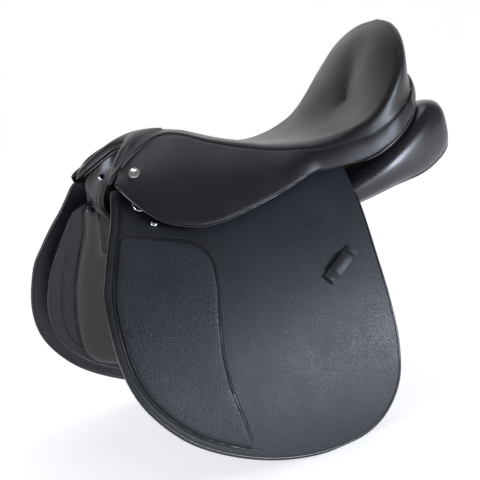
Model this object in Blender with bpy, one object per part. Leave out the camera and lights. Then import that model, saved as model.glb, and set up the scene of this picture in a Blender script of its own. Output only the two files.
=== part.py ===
"""English jumping saddle: tree, seat, panels, flaps, skirts, girth straps and steel fittings.

Metres, +Z up, -Y towards the front arch, +X towards the near (left) side. The saddle is the same on
both sides, so each side piece is worked out for the near side and mirrored through X = 0. The origin is
in the channel between the panels, at the level where they bear on the horse's back.
"""

import math

import bmesh
import bpy
from mathutils import Vector

# Driving dimensions.
FLAP_X = 0.0913  # half width at the flap's reference height
FLAP_Z = 0.0564  # reference height, just under the seat
FLAP_SPREAD = 0.765  # how fast the flap leans out below that height
FLAP_CURL = 1.16  # how the lean dies away towards the bottom
FLAP_TOE = 0.076  # the flaps open towards the front
FLAP_LEATHER = 0.004
SKIRT_LEATHER = 0.0035
SEAT_LEATHER = 0.0025
SEAT_FOAM = 0.009
GAP = 0.0005  # clearance between neighbouring pieces
FOLD_GAP = 0.0008  # slot in the solids along a crease
FLAP_FOLD_Z = 0.006  # crease that the flap lifts about
FLAP_HINGE_Y = -0.15  # where along the crease the flap's hinge is placed
SKIRT_FOLD = ((-0.262, 0.0775), (0.032, 0.0432))  # (y, z) ends of the crease under the seat seam
BAR_FRONT = -0.205
BAR_REAR = -0.122
BAR_Z = 0.058
STRAP_WIDTH = 0.025
STRAP_THICK = 0.004
STRAP_END_Z = -0.235
STRAP_Y = (-0.152, -0.115, -0.078)
STRAP_LEAN = 0.038  # straps hang back a little, because the flap faces slightly forwards
STRAP_NAMES = ("front", "middle", "rear")

# Lift above the flap's outer surface of each layer's outer face.
SWEAT_LIFT = -0.022
SWEAT_LEATHER = 0.003
BLOCK_LIFT = -0.0105
PAD_LIFT = SWEAT_LIFT - SWEAT_LEATHER - GAP
PAD_THICK = 0.009

# Longest facet in each cut piece.
FLAP_STEP = 0.032
PAD_STEP = 0.030
SWEAT_STEP = 0.034
LINING_STEP = 0.040
STRAP_STEP = 0.045
SEAT_STEPS = 4  # in each half of a seat row
BUTTON_SIDES = 8
BADGE_SIDES = 10
PANEL_SIDES = 14
PANEL_SQUARENESS = 0.75  # below 1, the cushion's section is fuller than an oval

# Lower edge of the flap from its front end of the crease to its rear end, as (y, z).
FLAP_EDGE = (
    (-0.3225, FLAP_FOLD_Z), (-0.338, -0.025), (-0.348, -0.085), (-0.340, -0.136), (-0.310, -0.184),
    (-0.269, -0.219), (-0.211, -0.250), (-0.150, -0.268), (-0.092, -0.271), (-0.048, -0.258),
    (-0.015, -0.225), (0.001, -0.180), (0.009, -0.129), (0.016, -0.070), (0.024, -0.020),
    (0.0275, FLAP_FOLD_Z),
)
# Front edge above the crease, from the crease up.
FLAP_HEAD = ((-0.307, 0.0315), (-0.292, 0.053), (-0.281, 0.073), (-0.2745, 0.0875))
# Top of the head, front to rear, with the gap that the stirrup bar stands in.
FLAP_HEAD_TOP = (
    (-0.225, 0.083), (-0.214, 0.034), (-0.088, 0.034), (-0.084, 0.064), (0.000, 0.052), (0.030, 0.036),
)
KNEE_SEAM = (
    (-0.316, 0.001), (-0.262, 0.002), (-0.225, 0.001), (-0.205, -0.005), (-0.197, -0.020),
    (-0.204, -0.050), (-0.222, -0.097), (-0.232, -0.140), (-0.231, -0.178), (-0.2285, -0.222),
)

# Half outline of the seat: the front edge from the centre to the front corner, then the seam back to
# the cantle's centre. Each row is (seam point, rim point, y of the centre line it starts from).
SEAT_ROWS = (
    ((0.000, -0.2185, 0.1290), (0.000, -0.1930, 0.1415), -0.158),
    ((0.020, -0.2280, 0.1255), (0.014, -0.2000, 0.1400), -0.156),
    ((0.037, -0.2450, 0.1150), (0.028, -0.2110, 0.1350), -0.154),
    ((0.055, -0.2610, 0.1040), (0.042, -0.2240, 0.1260), -0.152),
    ((0.0735, -0.2710, 0.0940), (0.055, -0.2340, 0.1170), -0.150),
    ((0.079, -0.2570, 0.1055), (0.058, -0.2240, 0.1215), -0.147),
    ((0.071, -0.2370, 0.1155), (0.055, -0.2110, 0.1275), -0.144),
    ((0.062, -0.2150, 0.1245), (0.048, -0.1970, 0.1325), -0.140),
    ((0.056, -0.1960, 0.1305), (0.041, -0.1820, 0.1355), -0.136),
    ((0.055, -0.1770, 0.1310), (0.038, -0.1660, 0.1335), -0.130),
    ((0.059, -0.1570, 0.1240), (0.040, -0.1460, 0.1255), -0.120),
    ((0.070, -0.1310, 0.1090), (0.047, -0.1200, 0.1125), -0.104),
    ((0.082, -0.0960, 0.0930), (0.056, -0.0860, 0.0985), -0.080),
    ((0.091, -0.0580, 0.0790), (0.067, -0.0500, 0.0865), -0.050),
    ((0.103, -0.0230, 0.0715), (0.083, -0.0150, 0.0795), -0.020),
    ((0.112, 0.0020, 0.0670), (0.095, 0.0120, 0.0785), 0.004),
    ((0.119, 0.0280, 0.0665), (0.106, 0.0350, 0.0800), 0.024),
    ((0.124, 0.0530, 0.0660), (0.114, 0.0560, 0.0840), 0.042),
    ((0.127, 0.0760, 0.0690), (0.119, 0.0770, 0.0910), 0.056),
    ((0.126, 0.1060, 0.0810), (0.120, 0.1020, 0.1090), 0.068),
    ((0.112, 0.1400, 0.0980), (0.111, 0.1340, 0.1450), 0.078),
    ((0.084, 0.1640, 0.1140), (0.082, 0.1540, 0.1770), 0.085),
    ((0.047, 0.1800, 0.1250), (0.044, 0.1680, 0.1955), 0.089),
    ((0.000, 0.1860, 0.1300), (0.000, 0.1760, 0.2015), 0.092),
)
SEAT_CENTRE = (
    (-0.185, 0.1415), (-0.158, 0.1345), (-0.134, 0.1245), (-0.105, 0.1100), (-0.080, 0.0985),
    (-0.050, 0.0885), (-0.020, 0.0800), (0.010, 0.0750), (0.040, 0.0735), (0.070, 0.0780),
    (0.095, 0.0890),
)
# Lower edge of the skirt as (y, z): the front lobe lies over the flap, the rear band under the seat.
LOBE_EDGE = (
    (-0.2715, 0.0870), (-0.266, 0.0740), (-0.260, 0.0630), (-0.250, 0.0490), (-0.239, 0.0378),
    (-0.226, 0.0290), (-0.210, 0.0222), (-0.195, 0.0176), (-0.176, 0.0155), (-0.155, 0.0158),
    (-0.132, 0.0178), (-0.106, 0.0212), (-0.077, 0.0254), (-0.043, 0.0320), (-0.018, 0.0365),
)
BAND_EDGE = (
    (0.119, 0.0020, 0.0415), (0.1235, 0.0270, 0.0415), (0.127, 0.0530, 0.0425), (0.129, 0.0770, 0.0480),
    (0.127, 0.1060, 0.0590), (0.113, 0.1400, 0.0780),
)
LOBE_LIFT = 0.0115
SKIRT_DOME = 0.055  # rise of the skirt between its edges, as a part of its depth
SKIRT_RISE = (0.8, 0, 0.6)  # way in which it rises
SKIRT_ROWS = (5, 20)  # the rows of the seat that the skirt is sewn to; the cantle band follows
SKIRT_STEPS = (30, 6)  # along and down the skirt
SKIRT_HINGE_LIFTS = (0.0195, 0.0330)  # the hinge line runs just outside the leather

# Panel cushions: y, centre x, centre z, half width, half depth, tilt in degrees.
PANEL_ROWS = (
    (-0.236, 0.074, 0.034, 0.030, 0.004, 47.0),
    (-0.228, 0.071, 0.032, 0.040, 0.009, 47.0),
    (-0.200, 0.068, 0.027, 0.045, 0.013, 46.0),
    (-0.140, 0.066, 0.020, 0.043, 0.015, 42.0),
    (-0.070, 0.065, 0.008, 0.039, 0.017, 37.0),
    (0.000, 0.066, 0.003, 0.036, 0.019, 30.0),
    (0.050, 0.068, 0.008, 0.040, 0.024, 20.0),
    (0.100, 0.069, 0.018, 0.043, 0.030, 12.0),
    (0.150, 0.065, 0.028, 0.040, 0.041, 6.0),
    (0.183, 0.059, 0.038, 0.036, 0.044, 2.0),
    (0.206, 0.054, 0.043, 0.029, 0.036, 0.0),
    (0.218, 0.051, 0.045, 0.015, 0.019, 0.0),
)
# Webbing straps under the foam: distance from the centre, then (y, z).
WEB_X = 0.017
WEB_WIDTH = 0.022
WEB_THICK = 0.0012
WEB_PATH = (
    (-0.172, 0.1150), (-0.150, 0.1080), (-0.105, 0.0880), (-0.060, 0.0700), (-0.010, 0.0570),
    (0.040, 0.0530), (0.080, 0.0580), (0.108, 0.0680), (0.130, 0.0860), (0.147, 0.1100),
)
# The wooden tree's near rail from the head to the cantle.
TREE_RAIL = (
    (0.000, -0.180, 0.1110), (0.030, -0.176, 0.1040), (0.046, -0.150, 0.0880), (0.052, -0.100, 0.0680),
    (0.060, -0.040, 0.0540), (0.072, 0.020, 0.0500), (0.086, 0.075, 0.0560), (0.082, 0.120, 0.0800),
    (0.052, 0.151, 0.1100), (0.000, 0.163, 0.1270),
)
TREE_WIDTH = 0.022
TREE_THICK = 0.007
# Steel head plate from the centre down the near side: (x, z), then (z) down the flap's slope.
GULLET_TOP = ((0.000, 0.1125), (0.025, 0.1105), (0.045, 0.1020))
GULLET_ARM_Z = (0.085, 0.060, 0.036, 0.014)
GULLET_Y = -0.2010
GULLET_WIDTH = 0.017
GULLET_STEEL = 0.003
GULLET_LIFT = -0.0125
SWEAT_EDGE = (
    (-0.262, 0.072), (-0.281, 0.062), (-0.292, 0.042), (-0.306, 0.012), (-0.322, -0.030),
    (-0.330, -0.085), (-0.320, -0.135), (-0.288, -0.180), (-0.240, -0.212), (-0.180, -0.232),
    (-0.110, -0.238), (-0.055, -0.228), (-0.022, -0.195), (-0.008, -0.140), (0.000, -0.070),
    (0.004, -0.010), (0.004, 0.024),
)
SWEAT_TOP = ((-0.236, 0.046), (-0.243, 0.066))  # from the rear back to the front corner
PAD_EDGE = (
    (-0.262, 0.069), (-0.268, 0.060), (-0.2675, 0.044), (-0.270, 0.020), (-0.279, -0.012),
    (-0.288, -0.057), (-0.293, -0.106), (-0.292, -0.150), (-0.284, -0.176), (-0.262, -0.194),
    (-0.220, -0.208), (-0.150, -0.218), (-0.090, -0.217), (-0.048, -0.196), (-0.032, -0.150),
    (-0.022, -0.090), (-0.016, -0.032),
)
PAD_TOP = ((-0.225, -0.024), (-0.243, -0.010), (-0.2445, 0.030), (-0.2445, 0.062))  # back to the front corner
KNEE_BLOCK = (
    (-0.296, -0.012), (-0.313, -0.045), (-0.319, -0.085), (-0.311, -0.125), (-0.292, -0.152),
    (-0.272, -0.150), (-0.268, -0.115), (-0.276, -0.065), (-0.278, -0.020),
)
THIGH_BLOCK = (
    (-0.026, -0.045), (-0.012, -0.060), (-0.016, -0.110), (-0.030, -0.160), (-0.044, -0.168),
    (-0.042, -0.130), (-0.034, -0.080),
)
KEEPER = ((-0.0620, -0.0820), (-0.0135, -0.0580))  # (y, z) of the stirrup leather keeper's two ends
KEEPER_RISE = 0.0070
KEEPER_WIDTH = 0.016
KEEPER_LEATHER = 0.0028
KEEPER_REST = 0.0020  # lift of its sewn ends
KEEPER_ARCH = 0.0006  # further rise at its middle
RING_HINGE = (-0.2455, 0.0690)  # (y, z) of the front ring's straight bar
RING_WIDTH = 0.020
RING_DEPTH = 0.019
RING_WIRE = 0.0014
RING_LIFT = 0.0042
RING_SIDES = 6
RING_NECK = 0.004  # straight part of the ring's sides
RING_CORNER = 0.002  # the bar stops this far short of the sides
TAB_CLEAR = 0.0009  # between the wire and the middle of the tab's leather
TAB_BACK = 0.4  # the front leaf of the tab, as a part of its length
RING_HANG = (0.35, -0.50, -0.70)  # which way the ring hangs from its bar
TAB_LENGTH = 0.030
TAB_WIDTH = 0.010
TAB_LEATHER = 0.0010
BAR_LIFT = 0.0068
BAR_PLATE_LIFT = -0.0070
BAR_WIDTH = 0.013
BAR_THICK = 0.0042
BAR_PLATE_REAR = -0.118
BAR_BEND = 0.006  # length of the hairpin's turn
CATCH_THICK = 0.003
CATCH_HINGE_Y = -0.111
CATCH_LENGTH = 0.014
CANTLE_LOW = ((0.1115, 0.1415, 0.0790), (0.084, 0.1650, 0.0950), (0.047, 0.1810, 0.1060), (0, 0.1870, 0.1110))
WELT_PATH = (
    (0.1190, 0.054, 0.0370), (0.1240, 0.078, 0.0425), (0.1225, 0.106, 0.0535), (0.1090, 0.140, 0.0715),
    (0.0830, 0.165, 0.0875), (0.0470, 0.181, 0.0985), (0.0000, 0.187, 0.1035),
)
WELT_RADIUS = 0.0025
WELT_SIDES = 6
BAND_LEATHER = 0.003
BAND_START = (-0.0012, 0.0012, 0)  # the band starts this far from the skirt's rear corner
BAND_DOME = 0.0008
# Inner and outer edges of the covered face of the front arch, from the centre down.
ARCH_INNER = ((0.000, -0.222, 0.101), (0.026, -0.232, 0.094), (0.046, -0.245, 0.078), (0.062, -0.252, 0.052))
ARCH_OUTER = ((0.000, -0.216, 0.124), (0.022, -0.226, 0.119), (0.040, -0.243, 0.108), (0.068, -0.261, 0.088))
ARCH_DEPTH = 0.005
# Turned steel pieces: (radius, height) from the base up, and where each one sits.
BADGE = (-0.2450, 0.0905)  # (y, z) over the skirt
BADGE_LIFT = 0.0055
BADGE_PROFILE = ((0.0085, 0.0), (0.0085, 0.0010), (0.0070, 0.0018), (0.0030, 0.0022))
STUD = (-0.2440, 0.0400)  # (y, z) on the flap's head
STUD_PROFILE = ((0.0040, 0.0), (0.0046, 0.0010), (0.0038, 0.0024), (0.0016, 0.0032))
RIVET = (0.042, -0.2475, 0.090)
RIVET_FACE = (0, -0.94, -0.34)
RIVET_PROFILE = ((0.0030, 0.0), (0.0038, 0.0010), (0.0030, 0.0026), (0.0012, 0.0034))
SCREWS = (("inner", 0.014, 0.1098), ("outer", 0.035, 0.1045))  # (name, x, z) under the head plate
SCREW_FACE = (-0.2, 0, -1)
SCREW_PROFILE = ((0.0036, 0.0), (0.0036, 0.0012), (0.0024, 0.0024))
SKIRT_DROP = 0.0022  # the skirt and the cantle band start this far below the seat's seam
PAD_LEATHER = 0.0030
PAD_INSET = (0.006, 0.004)  # (y, z) from the flap's front edge
PAD_HEEL = (-0.229, -0.236)  # lowest corner of the knee pad
STRAP_TOP_Z = 0.044
STRAP_PIVOT_DROP = 0.008
STRAP_CLEAR = 0.001  # from the sweat flap
STRAP_POINT = 0.7  # length of the strap's point, as a part of half its width

# Material name -> (colour, roughness, metallic).
FINISHES = {
    "leather": ((0.028, 0.028, 0.030), 0.50, 0.0),
    "grain_leather": ((0.035, 0.037, 0.040), 0.60, 0.0),
    "binding": ((0.020, 0.020, 0.021), 0.45, 0.0),
    "steel": ((0.72, 0.72, 0.73), 0.25, 1.0),
    "tree_wood": ((0.45, 0.32, 0.20), 0.60, 0.0),
    "foam": ((0.62, 0.60, 0.52), 0.90, 0.0),
    "webbing": ((0.70, 0.68, 0.62), 0.85, 0.0),
}
SIDES = (("near", 1), ("off", -1))


# Surfaces and curves.
def flap_x(y, z):
    """Half width of the flap's outer surface at (y, z)."""
    drop = FLAP_Z - z
    return FLAP_X + FLAP_SPREAD * drop - FLAP_CURL * drop**2 - FLAP_TOE * y


def on_flap(y, z, lift=0.0):
    """Point over the flap's outer surface, lifted along its normal."""
    slope = FLAP_SPREAD - 2 * FLAP_CURL * (FLAP_Z - z)
    normal = Vector((1, FLAP_TOE, slope)).normalized()
    return Vector((flap_x(y, z), y, z)) + normal * lift


def flap_normal(z):
    """Outward normal of the flap at height z."""
    return Vector((1, FLAP_TOE, FLAP_SPREAD - 2 * FLAP_CURL * (FLAP_Z - z))).normalized()


def spline(points, steps):
    """Catmull-Rom curve through the points, with the given steps in each stretch."""
    pts = [Vector(p) for p in points]
    ends = [2 * pts[0] - pts[1]] + pts + [2 * pts[-1] - pts[-2]]
    curve = []
    for a, b, c, d in zip(ends, ends[1:], ends[2:], ends[3:]):
        for k in range(steps):
            t = k / steps
            curve.append(
                0.5 * (2 * b + (c - a) * t + (2 * a - 5 * b + 4 * c - d) * t**2
                       + (3 * b - 3 * c + d - a) * t**3)
            )
    return curve + [pts[-1]]


def flat_spline(points):
    """A curve through (y, z) points, two steps to each stretch."""
    return [(p.x, p.y) for p in spline([(*p, 0) for p in points], 2)]


def along(points, key):
    """Value of the last coordinate at the given first coordinate, by straight stretches."""
    for (low, start), (high, end) in zip(points, points[1:]):
        if key <= high:
            return start + (end - start) * (key - low) / (high - low)
    return points[-1][1]


def hermite(start, end, out, into, steps):
    """Points after the start of a cubic with the given end tangents."""
    curve = []
    for k in range(1, steps + 1):
        t = k / steps
        a = 2 * t**3 - 3 * t**2 + 1
        b = t**3 - 2 * t**2 + t
        c = t**3 - t**2
        curve.append(start * a + out * b + end * (1 - a) + into * c)
    return curve


def seat_row(seam, rim, centre_y, steps):
    """Profile of the seat from its centre line, up over the rim and down to the seam."""
    seam = Vector(seam)
    rim = Vector(rim)
    centre = Vector((0, centre_y, along(SEAT_CENTRE, centre_y)))
    rise = (along(SEAT_CENTRE, centre_y + 0.004) - along(SEAT_CENTRE, centre_y - 0.004)) / 0.008
    inner = rim - centre
    outer = seam - rim
    across = Vector((inner.x, inner.y, 0)).normalized()
    inner_slope = inner.z / inner.xy.length
    outer_slope = outer.z / max(outer.xy.length, 0.006)
    rim_slope = 0.0
    if inner_slope < 0:
        rim_slope = 2 * inner_slope * outer_slope / (inner_slope + outer_slope)
    over = (across + Vector((0, 0, rim_slope))).normalized()
    start = across + Vector((0, 0, rise * across.y))
    down = (across * 0.25 + Vector((0, 0, -1))).normalized()
    row = [centre] + hermite(centre, rim, start * inner.length, over * inner.length, steps)
    return row + hermite(rim, seam, over * outer.length * 1.1, down * outer.length, steps)


# Mesh builders.
def clear_scene():
    for obj in list(bpy.data.objects):
        bpy.data.objects.remove(obj, do_unlink=True)


def finish_material(name):
    """The named finish as a Principled material, made once."""
    if name in bpy.data.materials:
        return bpy.data.materials[name]
    colour, roughness, metallic = FINISHES[name]
    material = bpy.data.materials.new(name)
    material.use_nodes = True
    shader = material.node_tree.nodes["Principled BSDF"]
    shader.inputs["Base Color"].default_value = (*colour, 1)
    shader.inputs["Roughness"].default_value = roughness
    shader.inputs["Metallic"].default_value = metallic
    return material


def add_mesh(name, verts, faces, finish, side=1, axis=None):
    """One object, with its origin at the axis point; side -1 mirrors it through X = 0."""
    verts = [Vector((v[0] * side, v[1], v[2])) for v in verts]
    origin = Vector((0, 0, 0))
    if axis is not None:
        origin = Vector((axis[0] * side, axis[1], axis[2]))
    mesh = bpy.data.meshes.new(name)
    order = [tuple(reversed(f)) for f in faces] if side < 0 else faces
    mesh.from_pydata([v - origin for v in verts], [], order)
    mesh.validate()
    mesh.shade_smooth()
    mesh.set_sharp_from_angle(angle=math.radians(40))
    mesh.materials.append(finish_material(finish))
    obj = bpy.data.objects.new(name, mesh)
    obj.location = origin
    bpy.context.collection.objects.link(obj)
    return obj


def thicken(obj, thickness):
    """Give an open surface its thickness, growing inwards from its outer face."""
    solid = obj.modifiers.new("thickness", "SOLIDIFY")
    solid.thickness = thickness
    solid.offset = -1
    solid.use_even_offset = True
    return obj


def mesh_lists(bm):
    bm.verts.ensure_lookup_table()
    verts = [v.co.copy() for v in bm.verts]
    faces = [tuple(v.index for v in f.verts) for f in bm.faces]
    return verts, faces


def outline_mesh(outline, step, place):
    """Surface inside a (y, z) outline, gridded and carried to its place; its face looks out (+X)."""
    bm = bmesh.new()
    bm.faces.new([bm.verts.new((0, p[0], p[1])) for p in outline])
    for axis in (1, 2):
        low = min(p[axis - 1] for p in outline)
        high = max(p[axis - 1] for p in outline)
        normal = Vector((0, 1, 0)) if axis == 1 else Vector((0, 0, 1))
        count = math.ceil((high - low) / step)
        for k in range(1, count):
            point = normal * (low + (high - low) * k / count)
            geom = bm.verts[:] + bm.edges[:] + bm.faces[:]
            bmesh.ops.bisect_plane(bm, geom=geom, dist=1e-6, plane_co=point, plane_no=normal)
    bmesh.ops.remove_doubles(bm, verts=bm.verts[:], dist=2e-4)
    for face in bm.faces:
        face.normal_update()
        if face.normal.x < 0:
            face.normal_flip()
    bmesh.ops.triangulate(bm, faces=bm.faces[:])
    bm.verts.index_update()
    for vert in bm.verts:
        vert.co = place(vert.co.y, vert.co.z)
    lists = mesh_lists(bm)
    bm.free()
    return lists


def leather_sheet(name, outline, step, lift, thickness, finish, side, axis=None):
    """A flat-cut piece laid over the flap's surface at the given lift."""
    verts, faces = outline_mesh(outline, step, lambda y, z: on_flap(y, z, lift))
    return thicken(add_mesh(name, verts, faces, finish, side, axis), thickness)


def loft(name, rings, finish, side=1, axis=None, closed=False):
    """One closed body through rings of equal length."""
    verts, faces = loft_lists(rings, closed)
    return add_mesh(name, verts, faces, finish, side, axis)


def loft_lists(rings, closed=False):
    """Points and faces of a loft; its open ends are capped by a fan about their middle."""
    verts = [p for ring in rings for p in ring]
    count = len(rings[0])
    faces = []
    pairs = list(zip(range(len(rings)), range(1, len(rings))))
    if closed:
        pairs.append((len(rings) - 1, 0))
    for a, b in pairs:
        for k in range(count):
            n = (k + 1) % count
            faces.append((a * count + k, a * count + n, b * count + n, b * count + k))
    if not closed:
        for base, flip in ((0, True), ((len(rings) - 1) * count, False)):
            middle = sum((Vector(verts[base + k]) for k in range(count)), Vector()) / count
            verts.append(middle)
            for k in range(count):
                fan = (base + k, base + (k + 1) % count, len(verts) - 1)
                faces.append(tuple(reversed(fan)) if flip else fan)
    bm = bmesh.new()
    new = [bm.verts.new(v) for v in verts]
    for face in faces:
        bm.faces.new([new[i] for i in face])
    bmesh.ops.recalc_face_normals(bm, faces=bm.faces[:])
    bm.verts.index_update()
    lists = mesh_lists(bm)
    bm.free()
    return lists


def sweep_rings(path, width, thick, up, closed=False):
    """Rectangular rings along a path; width lies across the path, square to up."""
    pts = [Vector(p) for p in path]
    rings = []
    for k, point in enumerate(pts):
        before = pts[k - 1] if closed or k else pts[k]
        after = pts[(k + 1) % len(pts)] if closed or k + 1 < len(pts) else pts[k]
        tangent = (after - before).normalized()
        lift = up[k] if isinstance(up, list) else up
        across = tangent.cross(Vector(lift)).normalized() * (width / 2)
        over = across.normalized().cross(tangent) * (thick / 2)
        rings.append([point + across + over, point - across + over, point - across - over,
                      point + across - over])
    return rings


def tube_rings(path, radius, sides, closed):
    """Round rings along a path that lies nearly in one plane."""
    pts = [Vector(p) for p in path]
    centre = sum(pts, Vector()) / len(pts)
    plane = Vector()
    for a, b in zip(pts, pts[1:]):
        plane += (a - centre).cross(b - centre)
    plane.normalize()
    rings = []
    for k, point in enumerate(pts):
        before = pts[k - 1] if closed or k else pts[k]
        after = pts[(k + 1) % len(pts)] if closed or k + 1 < len(pts) else pts[k]
        tangent = (after - before).normalized()
        across = tangent.cross(plane).normalized()
        turns = [2 * math.pi * n / sides for n in range(sides)]
        rings.append([point + (across * math.cos(a) + plane * math.sin(a)) * radius for a in turns])
    return rings


def disc_rings(centre, normal, profile, sides):
    """Rings of a turned button: profile is (radius, height) from the base up."""
    normal = Vector(normal).normalized()
    across = normal.orthogonal().normalized()
    other = normal.cross(across)
    rings = []
    for radius, height in profile:
        turns = [2 * math.pi * n / sides for n in range(sides)]
        rings.append([
            Vector(centre) + normal * height + (across * math.cos(a) + other * math.sin(a)) * radius
            for a in turns
        ])
    return rings


# Pieces.
def seat_surface(steps, trim=None):
    """Whole seat surface as rows from the near side's front round to the off side's front."""
    rows = [seat_row(*row, steps) for row in SEAT_ROWS]
    if trim:
        rows = [row[:trim] for row in rows]
    count = len(rows[0])
    verts = []
    faces = []
    for side in (1, -1):
        base = len(verts)
        for row in rows:
            verts.extend(Vector((p.x * side, p.y, p.z)) for p in row)
        for r in range(len(rows) - 1):
            for k in range(count - 1):
                a = base + r * count + k
                quad = (a, a + 1, a + count + 1, a + count)
                faces.append(quad if side > 0 else tuple(reversed(quad)))
    bm = bmesh.new()
    new = [bm.verts.new(v) for v in verts]
    for face in faces:
        bm.faces.new([new[i] for i in face])
    bmesh.ops.remove_doubles(bm, verts=bm.verts[:], dist=2e-4)
    bm.verts.index_update()
    lists = mesh_lists(bm)
    bm.free()
    return lists


def sunk(verts, faces, depth):
    """The surface moved in along its own normals."""
    mesh = bpy.data.meshes.new("sunk")
    mesh.from_pydata(verts, [], faces)
    moved = [v.co - v.normal * depth for v in mesh.vertices]
    bpy.data.meshes.remove(mesh)
    return moved


def make_seat():
    verts, faces = seat_surface(SEAT_STEPS)
    thicken(add_mesh("seat_cover", verts, faces, "leather"), SEAT_LEATHER)
    verts, faces = seat_surface(SEAT_STEPS, trim=SEAT_STEPS)
    verts = sunk(verts, faces, SEAT_LEATHER + 3 * GAP)
    thicken(add_mesh("seat_foam", verts, faces, "foam"), SEAT_FOAM)
    path = [(WEB_X, y, z) for y, z in WEB_PATH]
    for word, side in SIDES:
        loft("seat_webbing_" + word, sweep_rings(path, WEB_WIDTH, WEB_THICK, (0, 0, 1)), "webbing", side)


def seat_edge(row, drop):
    """Point just under the seam of a seat row."""
    return Vector(SEAT_ROWS[row][0]) + Vector((0, 0, -drop))


def skirt_surface():
    """Rows from the seam down to the skirt's lower edge, front corner first."""
    first, last = SKIRT_ROWS
    count, deep = SKIRT_STEPS
    top = [seat_edge(k, SKIRT_DROP) for k in range(first, last + 1)]
    low = [on_flap(y, z, LOBE_LIFT) for y, z in LOBE_EDGE] + [Vector(p) for p in BAND_EDGE]
    top = resample(spline(top, 3), count)
    low = resample(spline(low, 3), count)
    rows = []
    for a, b in zip(top, low):
        row = []
        for k in range(deep + 1):
            t = k / deep
            bulge = math.sin(math.pi * t) * SKIRT_DOME * (b - a).length
            row.append(a.lerp(b, t) + Vector(SKIRT_RISE) * bulge)
        rows.append(row)
    return rows


def resample(points, count):
    """The same curve with evenly spaced points."""
    lengths = [0.0]
    for a, b in zip(points, points[1:]):
        lengths.append(lengths[-1] + (b - a).length)
    even = []
    for k in range(count + 1):
        want = lengths[-1] * k / count
        n = next(i for i in range(1, len(points)) if lengths[i] >= want - 1e-9)
        t = (want - lengths[n - 1]) / (lengths[n] - lengths[n - 1])
        even.append(points[n - 1].lerp(points[n], t))
    return even


def grid_faces(rows, columns):
    return [
        (r * columns + k, (r + 1) * columns + k, (r + 1) * columns + k + 1, r * columns + k + 1)
        for r in range(rows - 1) for k in range(columns - 1)
    ]


def skirt_axis():
    """Two points of the crease that the skirt's lobe lifts about."""
    return [on_flap(*end, lift) for end, lift in zip(SKIRT_FOLD, SKIRT_HINGE_LIFTS)]


def make_skirt(word, side):
    """The skirt cut along its crease into the sewn part and the lobe that lifts."""
    rows = skirt_surface()
    front, rear = (Vector((0, *p)) for p in SKIRT_FOLD)
    normal = Vector((1, 0, 0)).cross(rear - front).normalized()
    for name, keep in (("skirt_top_" + word, 1), ("skirt_" + word, -1)):
        bm = bmesh.new()
        new = [bm.verts.new(p) for row in rows for p in row]
        for face in grid_faces(len(rows), len(rows[0])):
            bm.faces.new([new[i] for i in face])
        geom = bm.verts[:] + bm.edges[:] + bm.faces[:]
        cut = front + normal * keep * FOLD_GAP / 2
        bmesh.ops.bisect_plane(bm, geom=geom, dist=1e-6, plane_co=cut, plane_no=normal,
                               clear_outer=keep < 0, clear_inner=keep > 0)
        bmesh.ops.remove_doubles(bm, verts=bm.verts[:], dist=4e-4)
        bmesh.ops.triangulate(bm, faces=bm.faces[:])
        for face in bm.faces:
            face.normal_update()
        if sum(face.normal.x for face in bm.faces) < 0:
            bmesh.ops.reverse_faces(bm, faces=bm.faces[:])
        bm.verts.index_update()
        verts, faces = mesh_lists(bm)
        bm.free()
        hinge = skirt_axis()[0] if keep < 0 else None
        thicken(add_mesh(name, verts, faces, "leather", side, hinge), SKIRT_LEATHER)


def flap_hinge():
    """Point of the flap's crease that its pieces turn about."""
    return on_flap(FLAP_HINGE_Y, FLAP_FOLD_Z, 0)


def make_flap(word, side):
    """The flap below its crease, its fixed head above, and the pad and keeper sewn on it."""
    crease = FLAP_FOLD_Z - FOLD_GAP / 2
    edge = flat_spline(FLAP_EDGE)
    edge[0] = (edge[0][0], crease)
    edge[-1] = (edge[-1][0], crease)
    hinge = flap_hinge()
    leather_sheet("flap_" + word, edge, FLAP_STEP, 0, FLAP_LEATHER, "leather", side, hinge)
    base = FLAP_FOLD_Z + FOLD_GAP / 2
    head = [(FLAP_EDGE[0][0], base), *FLAP_HEAD, *FLAP_HEAD_TOP, (FLAP_EDGE[-1][0], base)]
    leather_sheet("flap_head_" + word, head, FLAP_STEP, 0, FLAP_LEATHER, "leather", side)
    seam = flat_spline(KNEE_SEAM)
    edge_in = [(y + PAD_INSET[0], z + PAD_INSET[1]) for y, z in FLAP_EDGE[1:6]]
    pad = edge_in + [PAD_HEEL] + seam[::-1]
    leather_sheet("knee_pad_" + word, pad, PAD_STEP, PAD_LEATHER + GAP, PAD_LEATHER, "grain_leather", side,
                  hinge)


def make_keeper(word, side):
    """Leather loop across the flap that the stirrup leather's end passes under."""
    start, end = (Vector(p) for p in KEEPER)
    path = []
    up = []
    for t, lift in ((0, KEEPER_REST), (0.13, KEEPER_REST), (0.22, KEEPER_RISE),
                    (0.5, KEEPER_RISE + KEEPER_ARCH), (0.78, KEEPER_RISE), (0.87, KEEPER_REST),
                    (1, KEEPER_REST)):
        y, z = start.lerp(end, t)
        path.append(on_flap(y, z, lift))
        up.append(flap_normal(z))
    loft("keeper_" + word, sweep_rings(path, KEEPER_WIDTH, KEEPER_LEATHER, up), "leather", side, flap_hinge())


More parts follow.
